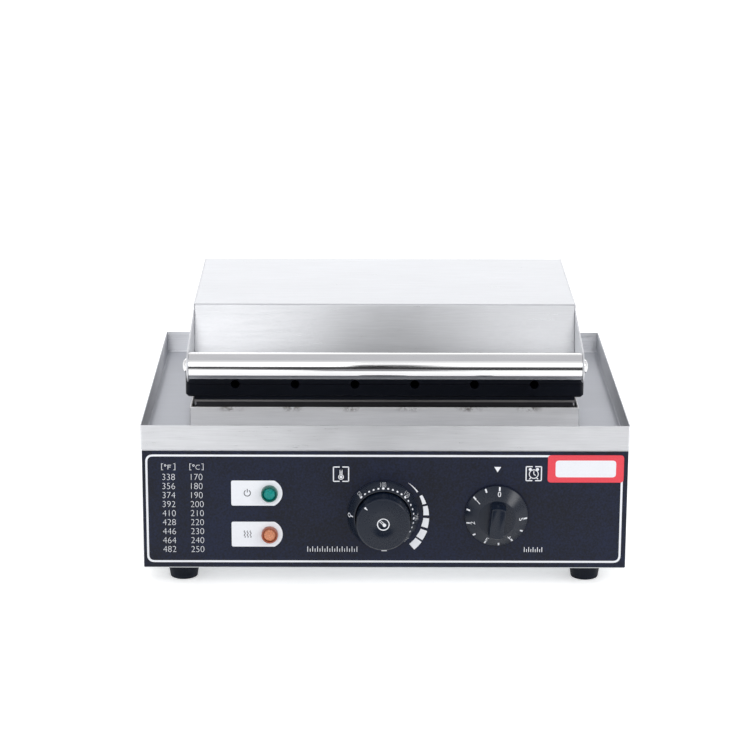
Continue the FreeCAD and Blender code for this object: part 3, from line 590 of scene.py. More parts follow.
copper = plain_coat("sensor_copper", (0.62, 0.30, 0.17), 0.32, speck=0.08, metal=1.0)
sheath = plain_coat("heater_sheath", (0.10, 0.085, 0.075), 0.50, speck=0.3, metal=1.0)
white_print = plain_coat("white_print", (0.82, 0.84, 0.89), 0.45, speck=0.02, depth=0.004)
ink = plain_coat("dark_print", (0.05, 0.05, 0.06), 0.45, speck=0.1, depth=0.004)
red_print = plain_coat("red_print", (0.76, 0.052, 0.078), 0.40, speck=0.05, depth=0.004)
green_lens = plain_coat("green_lens", (0.001, 0.235, 0.210), 0.14, speck=0.35, depth=0.25, gloss=0.3)
green_rim = plain_coat("green_lens_rim", (0.002, 0.10, 0.08), 0.14, speck=0.1, depth=0.004)
amber_lens = plain_coat("amber_lens", (0.64, 0.24, 0.12), 0.14, speck=0.30, depth=0.25, gloss=0.6)
amber_rim = plain_coat("amber_lens_rim", (0.33, 0.09, 0.05), 0.14, speck=0.1, depth=0.004)

FINISHED_NODES = (
    (rubber, "rubber_feet"),
    (zinc, "bottom_cover lower_clamp upper_clamp"),
    (brushed, "base_shell hinge_bracket_left hinge_bracket_right lid_side_left lid_side_right"),
    (pan_sheet, "drip_tray"),
    (skirt_sheet, "pedestal_skirt"),
    (hood_sheet, "lid_hood"),
    (grey_sheet, "lower_housing"),
    (film, "control_panel"),
    (casting, "lower_plate upper_plate"),
    (sheath, "lower_heater upper_heater"),
    (wool, "lower_insulation upper_insulation"),
    (copper, "sensor_bulb"),
    (switch_plastic, "thermostat_body timer_body terminal_block"),
    (black_plastic, "thermostat_bezel thermostat_knob timer_dial"),
    (green_lens, "power_lamp"),
    (amber_lens, "heat_lamp"),
    (grey_plastic, "cord_gland"),
    (polished, "handle_tube"),
    (shaft_steel, "hinge_shaft thermostat_spindle timer_spindle"),
)
NODE_FINISHES = {node: finish for finish, nodes in FINISHED_NODES for node in nodes.split()}
for node, finish in NODE_FINISHES.items():
    for place in frame["nodes"][node].material_slots:
        place.material = finish


# Sheet and cast pieces: the CAD solids with their edges rounded as bent and cast metal has them

BODIES = frame["record"]["behaviour"]["bodies"]
BODY_OF = {node: body for body, nodes in BODIES.items() for node in nodes}


def eased(made, radius, steps=2):
    """Round the sharp edges of a piece and keep its large faces flat to the light."""
    edge = made.modifiers.new("rounded_edges", "BEVEL")
    edge.width = radius * MM
    edge.segments = steps
    edge.limit_method = "ANGLE"
    edge.angle_limit = math.radians(30)
    flat = made.modifiers.new("flat_faces", "WEIGHTED_NORMAL")
    flat.weight = 100


def rounded_copy(node, radius, steps=2):
    """The CAD node's own form with its sharp edges rounded. It stands for the node."""
    bm = bmesh.new()
    bm.from_mesh(frame["nodes"][node].data)
    bmesh.ops.remove_doubles(bm, verts=bm.verts, dist=0.002 * MM)
    bmesh.ops.dissolve_limit(bm, angle_limit=math.radians(0.5), verts=bm.verts, edges=bm.edges)
    made = piece(node + "_form", bm, BODY_OF[node], NODE_FINISHES[node], sharp=180)
    eased(made, radius, steps)
    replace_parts(made, node)


SHEET_EDGES = {
    "base_shell": 0.4,
    "drip_tray": 0.5,
    "pedestal_skirt": 0.4,
    "hinge_bracket_left": 0.5,
    "hinge_bracket_right": 0.5,
    "lid_hood": 0.55,
    "lid_side_left": 0.3,
    "lid_side_right": 0.3,
}
for node, radius in SHEET_EDGES.items():
    rounded_copy(node, radius)
for node in ("lower_plate", "upper_plate"):
    rounded_copy(node, radius=0.7, steps=3)
rounded_copy("control_panel", radius=0.15)


# Trim round the housing under the lower plate: a black strip, painted shade standing for the dark gap
# under the plate, a light bead and polished bent corners

def trim(name, low, high, out, finish, depth):
    """A closed strip round the housing's walls, between two heights, that stands out from them."""
    corner_low, corner_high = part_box("lower_housing")
    bm = bmesh.new()
    loops = []
    for reach, height in ((out, low), (out, high), (out - depth, high), (out - depth, low)):
        x = corner_high.x + reach * MM
        y_low = corner_low.y - reach * MM
        y_high = corner_high.y + reach * MM
        loops.append([bm.verts.new((*spot, height * MM)) for spot in boxed(-x, x, y_low, y_high)])
    for loop, following in zip(loops, loops[1:] + loops[:1]):
        walled(bm, loop, following)
    eased(piece(name, bm, "base", finish, sharp=180), radius=0.2)


# A black strip that stands for the shade in the gap under the plate.
trim("plate_shade_strip", low=143.2, high=146.3, out=0.45, finish=rubber, depth=0.5)
trim("housing_bead", low=140.9, high=142.6, out=0.6, finish=bead_steel, depth=0.8)
BEND_FOOT = 138.2
BEND_HEIGHT = 3.6
BEND_RADIUS = 0.8
BEND_IN = 0.3
housing_low, housing_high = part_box("lower_housing")
bends = bmesh.new()
bend_profile = softened([(BEND_HEIGHT, 0), (BEND_HEIGHT, BEND_RADIUS), (0, BEND_RADIUS), (0, 0)], 0.3)
for side in (-1, 1):
    spot = Vector((side * (housing_high.x - BEND_IN * MM), housing_low.y + BEND_IN * MM, BEND_FOOT * MM))
    turned(bends, bend_profile, spot, "+z", steps=16)
piece("housing_bends", bends, "base", screw_steel)


# Handle tube with softly cut ends

TUBE_WALL = 1.5
low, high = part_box("handle_tube")
tube_radius = (high.z - low.z) / 2 / MM
tube_length = (high.x - low.x) / MM
tube_start = Vector((low.x, middle("handle_tube").y, middle("handle_tube").z))
bar = bmesh.new()
turned(bar, softened([
    (0, tube_radius), (tube_length, tube_radius),
    (tube_length, tube_radius - TUBE_WALL), (0, tube_radius - TUBE_WALL),
], 0.4, closed=True), tube_start, "+x", steps=128, closed=True)
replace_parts(piece("handle_bar", bar, "lid", polished), "handle_tube")


# Domed screws, each with its radius and rise

TUBE_SCREW = (6.2, 3.6)
HINGE_SCREW = (4.96, 1.7)
BRACKET_SCREW = (3.3, 1.9)
COVER_SCREW = (3.0, 1.4)
FOOT_SCREW = (2.9, 1.5)
RECESS_DEPTH = 0.8
RECESS_SHARE = 0.3
DOME_TOP_SHARE = 0.94


def domed_head(bm, place, way, radius, rise):
    """A domed screw head with a round driver recess."""
    dome = [(rise * math.cos(math.radians(angle)), radius * math.sin(math.radians(angle)))
            for angle in range(20, 91, 10)]
    bottom = rise * DOME_TOP_SHARE - RECESS_DEPTH
    turned(bm, [(bottom, 0), (bottom, RECESS_SHARE * radius), *dome, (0, 0)], place, way, steps=40)


screws = bmesh.new()
for side, way in (("lid_side_left", "-x"), ("lid_side_right", "+x")):
    low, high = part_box(side)
    outside = low.x if way == "-x" else high.x
    for node, screw in (("handle_tube", TUBE_SCREW), ("hinge_shaft", HINGE_SCREW)):
        domed_head(screws, Vector((outside, middle(node).y, middle(node).z)), way, *screw)
piece("arm_screws", screws, "lid", screw_steel)

# Screws of the base: two through each bracket's foot, and those under the bottom cover
BRACKET_SHEET = 3.0
BRACKET_SCREW_IN = 22.2
BRACKET_SCREW_FRONT = 7.0
BRACKET_SCREW_BACK = 9.5
COVER_SCREW_IN = 8.0
COVER_SCREWS = ((-1, 0), (1, 0), (-0.5, -1), (0, -1), (0.5, -1), (-0.5, 1), (0, 1), (0.5, 1))
small_screws = bmesh.new()
for label, side in (("left", -1), ("right", 1)):
    low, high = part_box(f"hinge_bracket_{label}")
    outer = high.x if side > 0 else -low.x
    for y in (low.y + BRACKET_SCREW_FRONT * MM, high.y - BRACKET_SCREW_BACK * MM):
        spot = Vector((side * (outer - BRACKET_SCREW_IN * MM), y, low.z + BRACKET_SHEET * MM))
        domed_head(small_screws, spot, "+z", *BRACKET_SCREW)
low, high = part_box("bottom_cover")
for x, y in COVER_SCREWS:
    spot = Vector((x * (high.x - COVER_SCREW_IN * MM), y * (high.y - COVER_SCREW_IN * MM), low.z))
    domed_head(small_screws, spot, "-z", *COVER_SCREW)
piece("base_screws", small_screws, "base", screw_steel)


# Rubber feet with a slight taper, and a screw in a recess of each sole

FOOT_RADIUS = 14.0
FOOT_TIP = 11.3
SOLE_DEPTH = 2.0
SOLE_RADIUS = 3.4
low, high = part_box("rubber_feet")
foot_height = (high.z - low.z) / MM
foot_profile = softened([
    (SOLE_DEPTH, 0), (SOLE_DEPTH, SOLE_RADIUS), (0, SOLE_RADIUS),
    (0, FOOT_TIP), (foot_height, FOOT_RADIUS), (foot_height, 0),
], 0.8)
feet = bmesh.new()
foot_screws = bmesh.new()
for x in (low.x + FOOT_RADIUS * MM, high.x - FOOT_RADIUS * MM):
    for y in (low.y + FOOT_RADIUS * MM, high.y - FOOT_RADIUS * MM):
        turned(feet, foot_profile, Vector((x, y, low.z)), "+z", steps=64)
        domed_head(foot_screws, Vector((x, y, low.z + SOLE_DEPTH * MM)), "-z", *FOOT_SCREW)
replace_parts(piece("feet", feet, "base", rubber), "rubber_feet")
piece("foot_screws", foot_screws, "base", screw_steel)


# Thermostat: ring with its scale, and the knob

BEZEL_RADIUS = 29.4
BEZEL_EDGE = 1.2
BEZEL_HEIGHT = 10.0
BEZEL_MOUTH = 23.0

ring = bmesh.new()
turned(ring, softened([
    (0, BEZEL_MOUTH), (0, BEZEL_RADIUS), (BEZEL_EDGE, BEZEL_RADIUS), (BEZEL_HEIGHT, BEZEL_MOUTH),
], 0.6, closed=True), THERMOSTAT, "-y", steps=144, closed=True)
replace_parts(piece("thermostat_ring", ring, "base", black_plastic), "thermostat_bezel")

DOT_SLOPE = 3.6
SMALL_DOT = 0.855
LARGE_DOT = 1.0925
FIRST_DOT = -45.7
LAST_DOT = 137.0
DOTS = 21
DOTS_PER_NUMBER = 5
FIRST_NUMBER = 50
DEGREES_PER_DOT = 10
SCALE_SLOPE = 7.4
SCALE_TYPE_HEIGHT = 4.8
SCALE_DIGIT_WIDTH = 2.0


def on_ring(turn, slope):
    """Places on the ring, counted outward from one line of its slope."""
    return outward(on_cone(THERMOSTAT, turn, BEZEL_HEIGHT, BEZEL_MOUTH, BEZEL_EDGE, BEZEL_RADIUS), slope)


scale = bmesh.new()
for count in range(DOTS):
    turn = FIRST_DOT + count * (LAST_DOT - FIRST_DOT) / (DOTS - 1)
    if count % DOTS_PER_NUMBER:
        slab(scale, circle(SMALL_DOT), on_ring(turn, DOT_SLOPE))
    else:
        slab(scale, circle(LARGE_DOT), on_ring(turn, DOT_SLOPE))
        number = str(FIRST_NUMBER + DEGREES_PER_DOT * count)
        numerals(scale, number, (0, 0), (SCALE_DIGIT_WIDTH * len(number), SCALE_TYPE_HEIGHT),
                 on_ring(turn, SCALE_SLOPE))

# A dash on the panel below the ring, and the off mark: a small ring with a stem
DASH_GAP = 1.8
DASH_LEFT = -1.2
DASH_RIGHT = 3.2
dash_v = THERMOSTAT_V - BEZEL_RADIUS - DASH_GAP
stroke(scale, (THERMOSTAT_U + DASH_LEFT, dash_v), (THERMOSTAT_U + DASH_RIGHT, dash_v), 0.8)
OFF_TURN = -88.0
OFF_CENTRE = (0, 0.8)
off_mark = on_ring(OFF_TURN, SCALE_SLOPE)
band(scale, circle(1.9, OFF_CENTRE), circle(1.2, OFF_CENTRE), off_mark)
stroke(scale, (0, -1.4), (0, -4.4), 1.0, off_mark)
piece("thermostat_scale", scale, "base", white_print)

KNOB_RADIUS = 22.2
KNOB_BACK = 0.8
KNOB_HEIGHT = 26.0
KNOB_EDGE = 1.0
DISH_RADIUS = 12.0
DISH_DEPTH = 2.2
DISH_STEPS = 10


def dish_depth(reach):
    """How deep the dish in the knob's front is at a distance from its middle."""
    return DISH_DEPTH * 0.5 * (1 + math.cos(math.pi * reach / DISH_RADIUS))


dish = []
for step in range(DISH_STEPS, -1, -1):
    reach = DISH_RADIUS * step / DISH_STEPS
    dish.append((KNOB_HEIGHT - dish_depth(reach), reach))
knob = bmesh.new()
turned(knob, [(KNOB_BACK, 0), *softened([
    (KNOB_BACK, 4.0), (KNOB_BACK, KNOB_RADIUS), (KNOB_HEIGHT - KNOB_EDGE, KNOB_RADIUS - 0.2),
    (KNOB_HEIGHT, KNOB_RADIUS - 0.2 - KNOB_EDGE), (KNOB_HEIGHT, DISH_RADIUS + 1.0),
], 0.5), *dish], THERMOSTAT, "-y", steps=144)
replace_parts(piece("thermostat_grip", knob, "thermostat_knob", black_plastic),
            "thermostat_knob")


def on_knob(u, v, w):
    """A point on the knob's dished front."""
    depth = dish_depth(min(math.hypot(u, v), DISH_RADIUS))
    return THERMOSTAT + Vector((u, -(KNOB_HEIGHT - depth + w), v)) * MM


# The knob's marks: a thermometer in a ring, and a pointer near the rim
KNOB_POINTER = -45.5
POINTER = [(-0.8, 21.3), (0.8, 21.3), (0.25, 18.3), (-0.25, 18.3)]
badge = bmesh.new()
band(badge, circle(5.15, steps=64), circle(4.35, steps=64), on_knob)
slab(badge, circle(1.45, (0.85, -0.85)), on_knob)
for shift in (-0.455, 0.455):
    stroke(badge, (0.3 + shift, shift), (-2.9 + shift, 3.0 + shift), 0.55, on_knob)
slab(badge, turned_points(POINTER, KNOB_POINTER), on_knob)
piece("thermostat_marks", badge, "thermostat_knob", white_print)


# Timer: dial with its scale and finger grip

DIAL_GAP = 1.0
DIAL_RADIUS = 25.9
DIAL_EDGE = 2.5
DIAL_HEIGHT = 10.5
DIAL_TOP = 15.4
DIAL_TILT = 5.5
GRIP_WIDTH = 12.5
GRIP_LENGTH = 27.0
GRIP_HEIGHT = 14.0
GRIP_BOW = 1.3
# How far the grip's outline draws in, by height
GRIP_LEVELS = ((0.0, 0.0), (GRIP_HEIGHT - 0.9, 0.35), (GRIP_HEIGHT - 0.35, 0.55), (GRIP_HEIGHT, 1.0))

dial = bmesh.new()
turned(dial, [(DIAL_GAP, 0), *softened([
    (DIAL_GAP, 4.0), (DIAL_GAP, DIAL_RADIUS), (DIAL_EDGE, DIAL_RADIUS), (DIAL_HEIGHT, DIAL_TOP),
    (DIAL_HEIGHT, 4.0),
], 0.7), (DIAL_HEIGHT, 0)], TIMER, "-y", steps=144)


def grip_outline(inset):
    """The grip's outline seen from the front, with bowed ends."""
    half_width = GRIP_WIDTH / 2 - inset
    half_length = GRIP_LENGTH / 2 - inset
    across = [1 - step / 5 for step in range(11)]
    end = [(half_width * part, half_length - GRIP_BOW * part ** 2) for part in across]
    return softened(end + [(-u, -v) for u, v in end], 0.4, closed=True, steps=2)


rows = []
for rise, inset in GRIP_LEVELS:
    rows.append([
        dial.verts.new(TIMER + Vector((x, -(DIAL_HEIGHT + rise), z)) * MM)
        for x, z in turned_points(grip_outline(inset), DIAL_TILT)
    ])
for lower, upper in zip(rows, rows[1:]):
    walled(dial, lower, upper)
dial.faces.new(rows[0][::-1])
dial.faces.new(rows[-1])
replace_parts(piece("timer_knob_form", dial, "timer_knob", black_plastic), "timer_dial")

NUMBER_STEP = -54.4
TICKS = 11
TICK_FROM = 9.0
TICK_TO = 12.4
TICK_WIDTH = 1.3
TIMER_TYPE_SLOPE = 6.1
TIMER_TYPE = (3.3, 4.5)
timer_scale = bmesh.new()
for count in range(TICKS):
    turn = DIAL_TILT + NUMBER_STEP * count / 2
    cone = on_cone(TIMER, turn, DIAL_HEIGHT, DIAL_TOP, DIAL_EDGE, DIAL_RADIUS)
    stroke(timer_scale, (0, TICK_FROM), (0, TICK_TO), TICK_WIDTH, cone)
    if count % 2 == 0:
        numerals(timer_scale, str(count // 2), (0, 0), TIMER_TYPE, outward(cone, TIMER_TYPE_SLOPE),
                 weight=-0.004)
piece("timer_scale", timer_scale, "timer_knob", white_print)


# Signal lamps: a rim, a domed lens and the barrel behind the panel

RIM_RADIUS = 7.0
RIM_HEIGHT = 4.4
LENS_RADIUS = 5.4
LENS_HEIGHT = 4.1
LENS_SEAT = 1.5
LENS_GAP = 0.05
BARREL = 9.0


def signal_lamp(node, lens_finish, rim_finish):
    """A lamp in two pieces, where the lens stands for the CAD node."""
    centre = on_front(node)
    rim = bmesh.new()
    turned(rim, softened([
        (0, LENS_RADIUS), (0, RIM_RADIUS), (RIM_HEIGHT, RIM_RADIUS - 0.3),
        (RIM_HEIGHT, LENS_RADIUS + 0.2), (LENS_SEAT, LENS_RADIUS),
    ], 0.5, closed=True), centre, "-y", steps=72, closed=True)
    half = BARREL / 2
    back = (PANEL_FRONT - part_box(node)[1].y) / MM
    slab(rim, softened(boxed(-half, half, -half, half), 0.8, closed=True),
         lambda u, v, w: centre + Vector((u, -w, v)) * MM, thickness=-back, lift=back)
    piece(node + "_rim", rim, "base", rim_finish)
    reach = LENS_RADIUS - LENS_GAP
    dome = [
        (LENS_SEAT + (LENS_HEIGHT - LENS_SEAT) * math.cos(math.radians(angle)) ** 0.6,
         reach * math.sin(math.radians(angle)))
        for angle in range(82, 9, -8)
    ]
    lens = bmesh.new()
    turned(lens, [(0.2, 0), (0.2, reach), *dome, (LENS_HEIGHT, 0)], centre, "-y", steps=72)
    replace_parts(piece(node + "_lens", lens, "base", lens_finish), node)


signal_lamp("power_lamp", green_lens, green_rim)
signal_lamp("heat_lamp", amber_lens, amber_rim)


# Print on the front panel: u from the panel's middle and v from the print's line

def printed(name, bm, finish=white_print):
    """Close a mesh as print on the panel."""
    piece(name, bm, "base", finish)


def round_box(low_u, high_u, low_v, high_v, radius):
    """An upright rectangle with round corners."""
    return softened(boxed(low_u, high_u, low_v, high_v), radius, closed=True, steps=8)


BORDER_LEFT = -195.25
BORDER_RIGHT = 194.05
BORDER_LOW = 4.1
BORDER_HIGH = 95.6
HALF_LINE = 0.85
border = bmesh.new()
band(border,
     round_box(BORDER_LEFT - HALF_LINE, BORDER_RIGHT + HALF_LINE,
               BORDER_LOW - HALF_LINE, BORDER_HIGH + HALF_LINE, radius=6.4),
     round_box(BORDER_LEFT + HALF_LINE, BORDER_RIGHT - HALF_LINE,
               BORDER_LOW + HALF_LINE, BORDER_HIGH - HALF_LINE, radius=4.7))
printed("border_line", border)

# Table of temperatures: for each column its name, place, scale, first number and step
COLUMNS = (
    ("table_left", -177.4, "F", 338, 18),
    ("table_right", -154.3, "C", 170, 10),
)
TABLE_ROWS = 9
ROW_PITCH = 7.82
FIRST_ROW = 77.2
ROW_TYPE = (12.6, 5.2)
# Its heads: a letter with a small ring before it, in square brackets
HEAD_ROW = 85.9
LETTER_C = (1.0, -0.3)
LETTER_C_TYPE = (3.6, 4.0)
LETTER_F = (((-0.3, -2.3), (-0.3, 1.7)), ((-0.3, 1.43), (2.3, 1.43)), ((-0.3, -0.2), (1.9, -0.2)))
DEGREE = (-2.5, 1.2)
BRACKET = ((4.2, -2.6), (5.5, -2.6), (5.5, -2.9), (5.5, 2.9), (5.5, 2.6), (4.2, 2.6))
for name, u, head, first, step in COLUMNS:
    column = bmesh.new()
    if head == "C":
        numerals(column, head, (u + LETTER_C[0], HEAD_ROW + LETTER_C[1]), LETTER_C_TYPE,
                 weight=-0.020)
    else:
        for line in LETTER_F:
            stroke(column, *shifted(line, u, HEAD_ROW), 0.45)
    degree = (u + DEGREE[0], HEAD_ROW + DEGREE[1])
    band(column, circle(0.9, degree), circle(0.5, degree))
    for side in (-1, 1):
        bracket = shifted([(side * x, y) for x, y in BRACKET], u, HEAD_ROW)
        for start, end in zip(bracket[::2], bracket[1::2]):
            stroke(column, start, end, 0.4)
    for row in range(TABLE_ROWS):
        numerals(column, str(first + row * step), (u, FIRST_ROW - row * ROW_PITCH), ROW_TYPE)
    printed(name, column)

# White fields round the signal lamps, square at the left and round at the right
FIELD_LEFT = -126.2
FIELD_RIGHT = -84.2
FIELD_HALF = 10.8
FIELD_CORNER = 1.6
FIELD_NOSE = 12.0
NOSE_STEPS = 12


def lamp_field(v):
    """The outline of the field whose middle is at height v."""
    nose_centre = (FIELD_RIGHT - FIELD_NOSE, v)
    nose_span = math.asin(FIELD_HALF / FIELD_NOSE)
    nose = [
        on_circle(FIELD_NOSE, nose_span * step / NOSE_STEPS, nose_centre)
        for step in range(-NOSE_STEPS, NOSE_STEPS + 1)
    ]
    left = softened([nose[-1], (FIELD_LEFT, v + FIELD_HALF), (FIELD_LEFT, v - FIELD_HALF), nose[0]],
                    FIELD_CORNER)
    return nose + left[1:-1]


power_v = height_on_panel(middle("power_lamp"))
heat_v = height_on_panel(middle("heat_lamp"))
fields = bmesh.new()
for v in (power_v, heat_v):
    slab(fields, lamp_field(v))
printed("lamp_fields", fields)

# Plain signs on the fields: a ring with a bar, and three rising waves
SIGN_U = -113.0
HOOP = 2.6
HOOP_FROM = 120
HOOP_SPAN = 300
HOOP_STEPS = 28
WAVE_STEP = 0.6
WAVE_SWING = 0.6
WAVE_RATE = 2.1
signs = bmesh.new()
hoop = []
for step in range(HOOP_STEPS + 1):
    angle = math.radians(HOOP_FROM + HOOP_SPAN * step / HOOP_STEPS)
    hoop.append(on_circle(HOOP, angle, (SIGN_U, power_v)))
traced(signs, hoop, 0.7, lift=PRINT_DEPTH)
stroke(signs, (SIGN_U, power_v + 0.6), (SIGN_U, power_v + 3.6), 0.7, lift=PRINT_DEPTH)
rises = [-3.0 + WAVE_STEP * step for step in range(11)]
wave = [(WAVE_SWING * math.sin(rise * WAVE_RATE), rise) for rise in rises]
for shift in (-2.4, 0.0, 2.4):
    traced(signs, shifted(wave, SIGN_U + shift, heat_v), 0.6, lift=PRINT_DEPTH)
printed("lamp_signs", signs, ink)

# Blocks that grow round the thermostat: turn, length, radius, and width at the start and the end
BLOCKS = (
    (46.0, 18.0, 34.45, 0.2, 1.3),
    (68.0, 13.0, 35.1, 2.4, 3.3),
    (84.0, 13.0, 35.4, 3.8, 4.7),
    (101.0, 13.0, 35.6, 4.7, 5.5),
    (117.6, 13.0, 36.1, 5.7, 6.1),
    (133.0, 13.0, 36.5, 6.2, 6.5),
)
BLOCK_STEPS = 6
blocks = bmesh.new()
for turn, length, radius, start_width, end_width in BLOCKS:
    inner = []
    outer = []
    for step in range(BLOCK_STEPS + 1):
        part = step / BLOCK_STEPS
        angle = math.radians(90 - turn - length * (part - 0.5))
        half = (start_width + (end_width - start_width) * part) / 2
        inner.append(on_circle(radius - half, angle, (THERMOSTAT_U, THERMOSTAT_V)))
        outer.append(on_circle(radius + half, angle, (THERMOSTAT_U, THERMOSTAT_V)))
    slab(blocks, inner + outer[::-1])
printed("heat_blocks", blocks)

# Signs in broken frames: a thermometer and a clock
icons = bmesh.new()
FRAME_LINE = 0.9
FRAME_GAP = 1.1


def broken_frame(low_u, high_u, low_v, high_v):
    """A square frame that is open in the middle of its top and bottom."""
    mid = (low_u + high_u) / 2
    for v in (low_v, high_v):
        stroke(icons, (low_u, v), (mid - FRAME_GAP, v), FRAME_LINE)
        stroke(icons, (mid + FRAME_GAP, v), (high_u, v), FRAME_LINE)
    for u in (low_u, high_u):
        stroke(icons, (u, low_v), (u, high_v), FRAME_LINE)


def icon_line(centre, start, end, width):
    """A line of an icon, measured from its centre."""
    stroke(icons, *shifted((start, end), *centre), width)


broken_frame(low_u=-42.3, high_u=-29.9, low_v=73.7, high_v=86.0)
BULB = (-36.1, 77.4)
band(icons, circle(2.3, BULB), circle(1.7, BULB))
slab(icons, circle(1.2, BULB))
for shift in (-0.9, 0.9):
    icon_line(BULB, (shift, 1.9), (shift, 6.2), 0.5)
icon_line(BULB, (0, 1.0), (0, 5.0), 0.6)

broken_frame(low_u=115.5, high_u=128.0, low_v=74.6, high_v=86.6)
CLOCK = (121.75, 80.2)
band(icons, circle(4.0, CLOCK), circle(3.3, CLOCK))
icon_line(CLOCK, (0, 0), (0, 2.5), 0.7)
icon_line(CLOCK, (0, 0), (1.6, -1.2), 0.7)
for side in (-1, 1):
    slab(icons, circle(1.3, (CLOCK[0] + side * 2.9, CLOCK[1] + 4.0)))
    icon_line(CLOCK, (side * 2.6, -3.3), (side * 3.6, -4.4), 0.8)
TRIANGLE = [(89.3, 86.3), (94.9, 86.3), (92.1, 81.65)]
slab(icons, TRIANGLE)

# Plain rows of ticks under the two controls
SHORT_TICK = 0.6


def tick_row(low_u, high_u, v, count, height):
    """Upright ticks on one foot line, every second one shorter."""
    for step in range(count):
        u = low_u + (high_u - low_u) * step / (count - 1)
        rise = height if step % 2 == 0 else height * SHORT_TICK
        stroke(icons, (u, v - height / 2), (u, v - height / 2 + rise), 0.55)


tick_row(low_u=-63.6, high_u=-23.0, v=14.9, count=21, height=4.6)
tick_row(low_u=115.2, high_u=129.7, v=14.7, count=9, height=4.2)
printed("panel_signs", icons)

# Blank red tag at the upper right, with a white field to write on
TAG = (133.1, 195.4, 73.1, 96.5)
TAG_FIELD = (139.5, 189.0, 77.6, 92.0)
TAG_CORNER = 3.0
TAG_THICKNESS = 0.3
tag = bmesh.new()
slab(tag, round_box(*TAG, TAG_CORNER), thickness=TAG_THICKNESS)
printed("blank_tag", tag, red_print)
tag_field = bmesh.new()
slab(tag_field, round_box(*TAG_FIELD, TAG_CORNER), thickness=0.03, lift=TAG_THICKNESS)
printed("blank_tag_field", tag_field)


# Floor, world, lamps and camera

BACKGROUND_RAYS = ("Is Camera Ray", "Is Glossy Ray", "Is Transmission Ray")


def light_share(tree):
    """1 for rays that show the background itself, 0 for rays that gather light."""
    rays = wired(tree, "ShaderNodeLightPath").outputs
    total = rays[BACKGROUND_RAYS[0]]
    for kind in BACKGROUND_RAYS[1:]:
        total = wired(tree, "ShaderNodeMath", total, rays[kind], operation="MAXIMUM")
    return total


def staged(name, corners):
    """A flat thing of the studio with an empty finish, and that finish's tree."""
    mesh = bpy.data.meshes.new(name)
    mesh.from_pydata(corners, [], [tuple(range(len(corners)))])
    made = linked(name, mesh)
    finish = bpy.data.materials.new(name)
    finish.use_nodes = True
    finish.node_tree.nodes.remove(finish.node_tree.nodes["Principled BSDF"])
    mesh.materials.append(finish)
    return made, finish.node_tree


def shown(tree, source):
    """Give a finish its surface."""
    give(tree, tree.nodes["Material Output"].inputs["Surface"], source)


FLOOR_HALF = 6.0
FLOOR_COLOUR = (0.8, 0.8, 0.8, 1)
FLOOR_GLOW = 0.36
corners = boxed(-FLOOR_HALF, FLOOR_HALF, -FLOOR_HALF, FLOOR_HALF)
tree = staged("floor", [(*corner, 0.0) for corner in corners])[1]
pale = wired(tree, "ShaderNodeBsdfDiffuse", Color=FLOOR_COLOUR)
soft = wired(tree, "ShaderNodeBsdfDiffuse", Color=(1, 1, 1, 1))
glow = wired(tree, "ShaderNodeEmission", Strength=FLOOR_GLOW)
white = wired(tree, "ShaderNodeAddShader", soft, glow)
shown(tree, wired(tree, "ShaderNodeMixShader", light_share(tree), pale, white))

WORLD_LIGHT = 0.75
world = bpy.data.worlds.new("studio")
bpy.context.scene.world = world
world.use_nodes = True
tree = world.node_tree
background = tree.nodes["Background"].inputs
give(tree, background["Color"], (1, 1, 1, 1))
strength = wired(tree, "ShaderNodeMapRange", light_share(tree), To_Min=WORLD_LIGHT, To_Max=1.0)
give(tree, background["Strength"], strength)


def soft_lamp(name, place, aim, size, power):
    """A large area lamp that faces a point and isn't seen itself."""
    data = bpy.data.lights.new(name, "AREA")
    data.shape = "RECTANGLE"
    data.size, data.size_y = size
    data.energy = power
    lamp = linked(name, data)
    lamp.location = place
    lamp.rotation_euler = (Vector(aim) - Vector(place)).to_track_quat("-Z", "Y").to_euler()
    lamp.visible_camera = False


soft_lamp("lamp_top", (0.0, 0.1, 1.9), (0.0, 0.0, 0.1), (1.5, 1.2), 6.0)
soft_lamp("lamp_front", (0.0, -1.9, 1.35), (0.0, 0.0, 0.15), (3.0, 1.0), 2.8)
soft_lamp("lamp_front_left", (-0.575, -1.9, 1.05), (-0.575, 0.0, 0.15), (1.0, 1.1), 4.8)
soft_lamp("lamp_front_right", (0.63, -1.9, 1.05), (0.63, 0.0, 0.15), (1.0, 1.1), 2.2)
soft_lamp("lamp_left", (-1.5, -1.1, 0.8), (-0.1, 0.0, 0.15), (0.9, 1.0), 1.2)
soft_lamp("lamp_right", (1.45, -0.95, 1.0), (0.05, -0.15, 0.08), (0.5, 0.6), 7.0)
soft_lamp("lamp_back", (0.0, 2.0, 0.95), (0.0, 0.0, 0.2), (3.6, 1.1), 11.6)


# Cards round the camera and overhead, which only gloss shows

def card(name, corners, shade, edges):
    """A grey card; each edge is an axis and the places where the card begins and is full."""
    made, tree = staged(name, corners)
    place = wired(tree, "ShaderNodeSeparateXYZ", wired(tree, "ShaderNodeTexCoord").outputs["Object"])
    cover = None
    for axis, start, full in edges:
        low, high = sorted((start, full))
        edge = wired(tree, "ShaderNodeMapRange", place.outputs[axis], interpolation_type="SMOOTHSTEP",
                     From_Min=low, From_Max=high, To_Min=float(full < start), To_Max=float(full > start))
        if cover is None:
            cover = edge
        else:
            cover = wired(tree, "ShaderNodeMath", cover, edge, operation="MULTIPLY")
    clear = wired(tree, "ShaderNodeBsdfTransparent")
    grey = wired(tree, "ShaderNodeEmission", Color=(shade, shade, shade * 1.03, 1))
    shown(tree, wired(tree, "ShaderNodeMixShader", cover, clear, grey))
    made.visible_camera = False
    made.visible_diffuse = False
    made.visible_shadow = False


def upright(y, low_x, high_x, low_z, high_z):
    """The corners of a card that faces along Y."""
    return [(x, y, z) for x, z in boxed(low_x, high_x, low_z, high_z)]


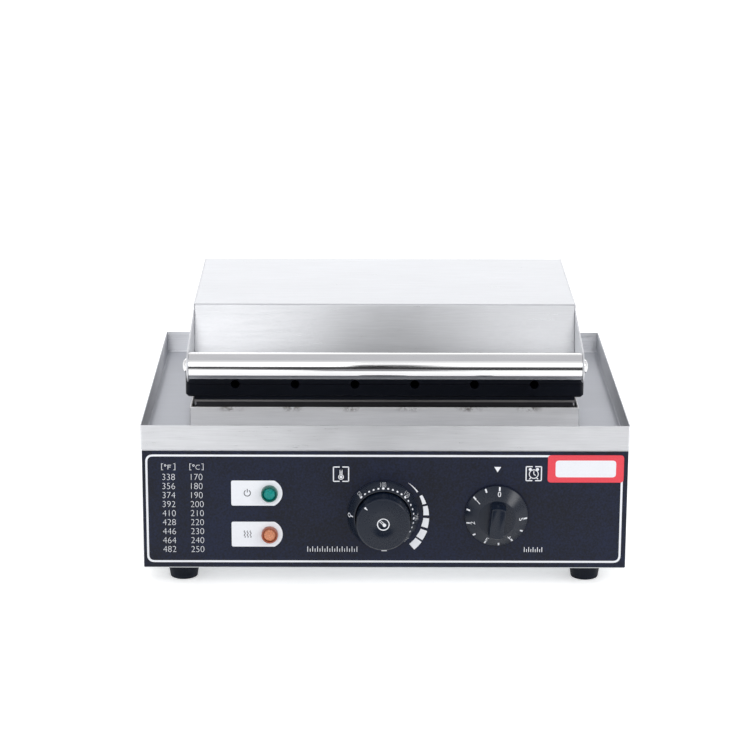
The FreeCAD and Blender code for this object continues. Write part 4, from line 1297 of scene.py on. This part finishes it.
def level(z, low_x, high_x, low_y, high_y):
    """The corners of a card that lies flat."""
    return [(x, y, z) for x, y in boxed(low_x, high_x, low_y, high_y)]


card("dark_wall", upright(-1.0, -0.7, 0.7, 0.0, 0.31), 0.08,
     ((0, -0.65, -0.35), (0, 0.65, 0.40), (2, 0.305, 0.235)))
card("dark_floor", level(0.002, -0.7, 0.7, -1.0, -0.60), 0.08,
     ((0, -0.45, -0.10), (0, 0.70, 0.30), (1, -0.59, -0.70)))
card("dark_middle", upright(-0.99, -0.12, 0.24, 0.0, 0.66), 0.05,
     ((0, -0.075, -0.035), (0, 0.15, 0.03), (2, 0.70, 0.42)))
card("dark_middle_floor", level(0.003, -0.16, 0.24, -0.99, -0.42), 0.35,
     ((0, -0.11, -0.07), (0, 0.16, 0.03), (1, -0.42, -0.50)))
card("grey_ceiling", level(1.5, -1.5, 1.5, -0.9, 0.9), 0.72,
     ((1, -0.95, -0.8), (1, 0.95, 0.8)))

# Camera: where the photograph was taken from, worked out from the panel's and the tray's corners
CAMERA_PLACE = Vector((-0.020755, -2.157363, 0.748242))
PITCH = math.radians(15.726)
YAW = math.radians(0.347)
ROLL = math.radians(0.215)
SENSOR_WIDTH = 36.0
FOCAL_LENGTH = 123.58
forward = Vector((math.sin(YAW) * math.cos(PITCH), math.cos(YAW) * math.cos(PITCH), -math.sin(PITCH)))
level_right = Vector((math.cos(YAW), -math.sin(YAW), 0))
level_up = level_right.cross(forward)
right = level_right * math.cos(ROLL) + level_up * math.sin(ROLL)
up = level_up * math.cos(ROLL) - level_right * math.sin(ROLL)
camera_data = bpy.data.cameras.new("camera")
camera_data.sensor_width = SENSOR_WIDTH
camera_data.lens = FOCAL_LENGTH
camera = linked("camera", camera_data)
camera_turn = Matrix((right, up, -forward)).transposed().to_4x4()
camera.matrix_world = Matrix.Translation(CAMERA_PLACE) @ camera_turn
bpy.context.scene.camera = camera
bpy.context.scene.view_settings.view_transform = "Standard"

bpy.context.view_layer.update()
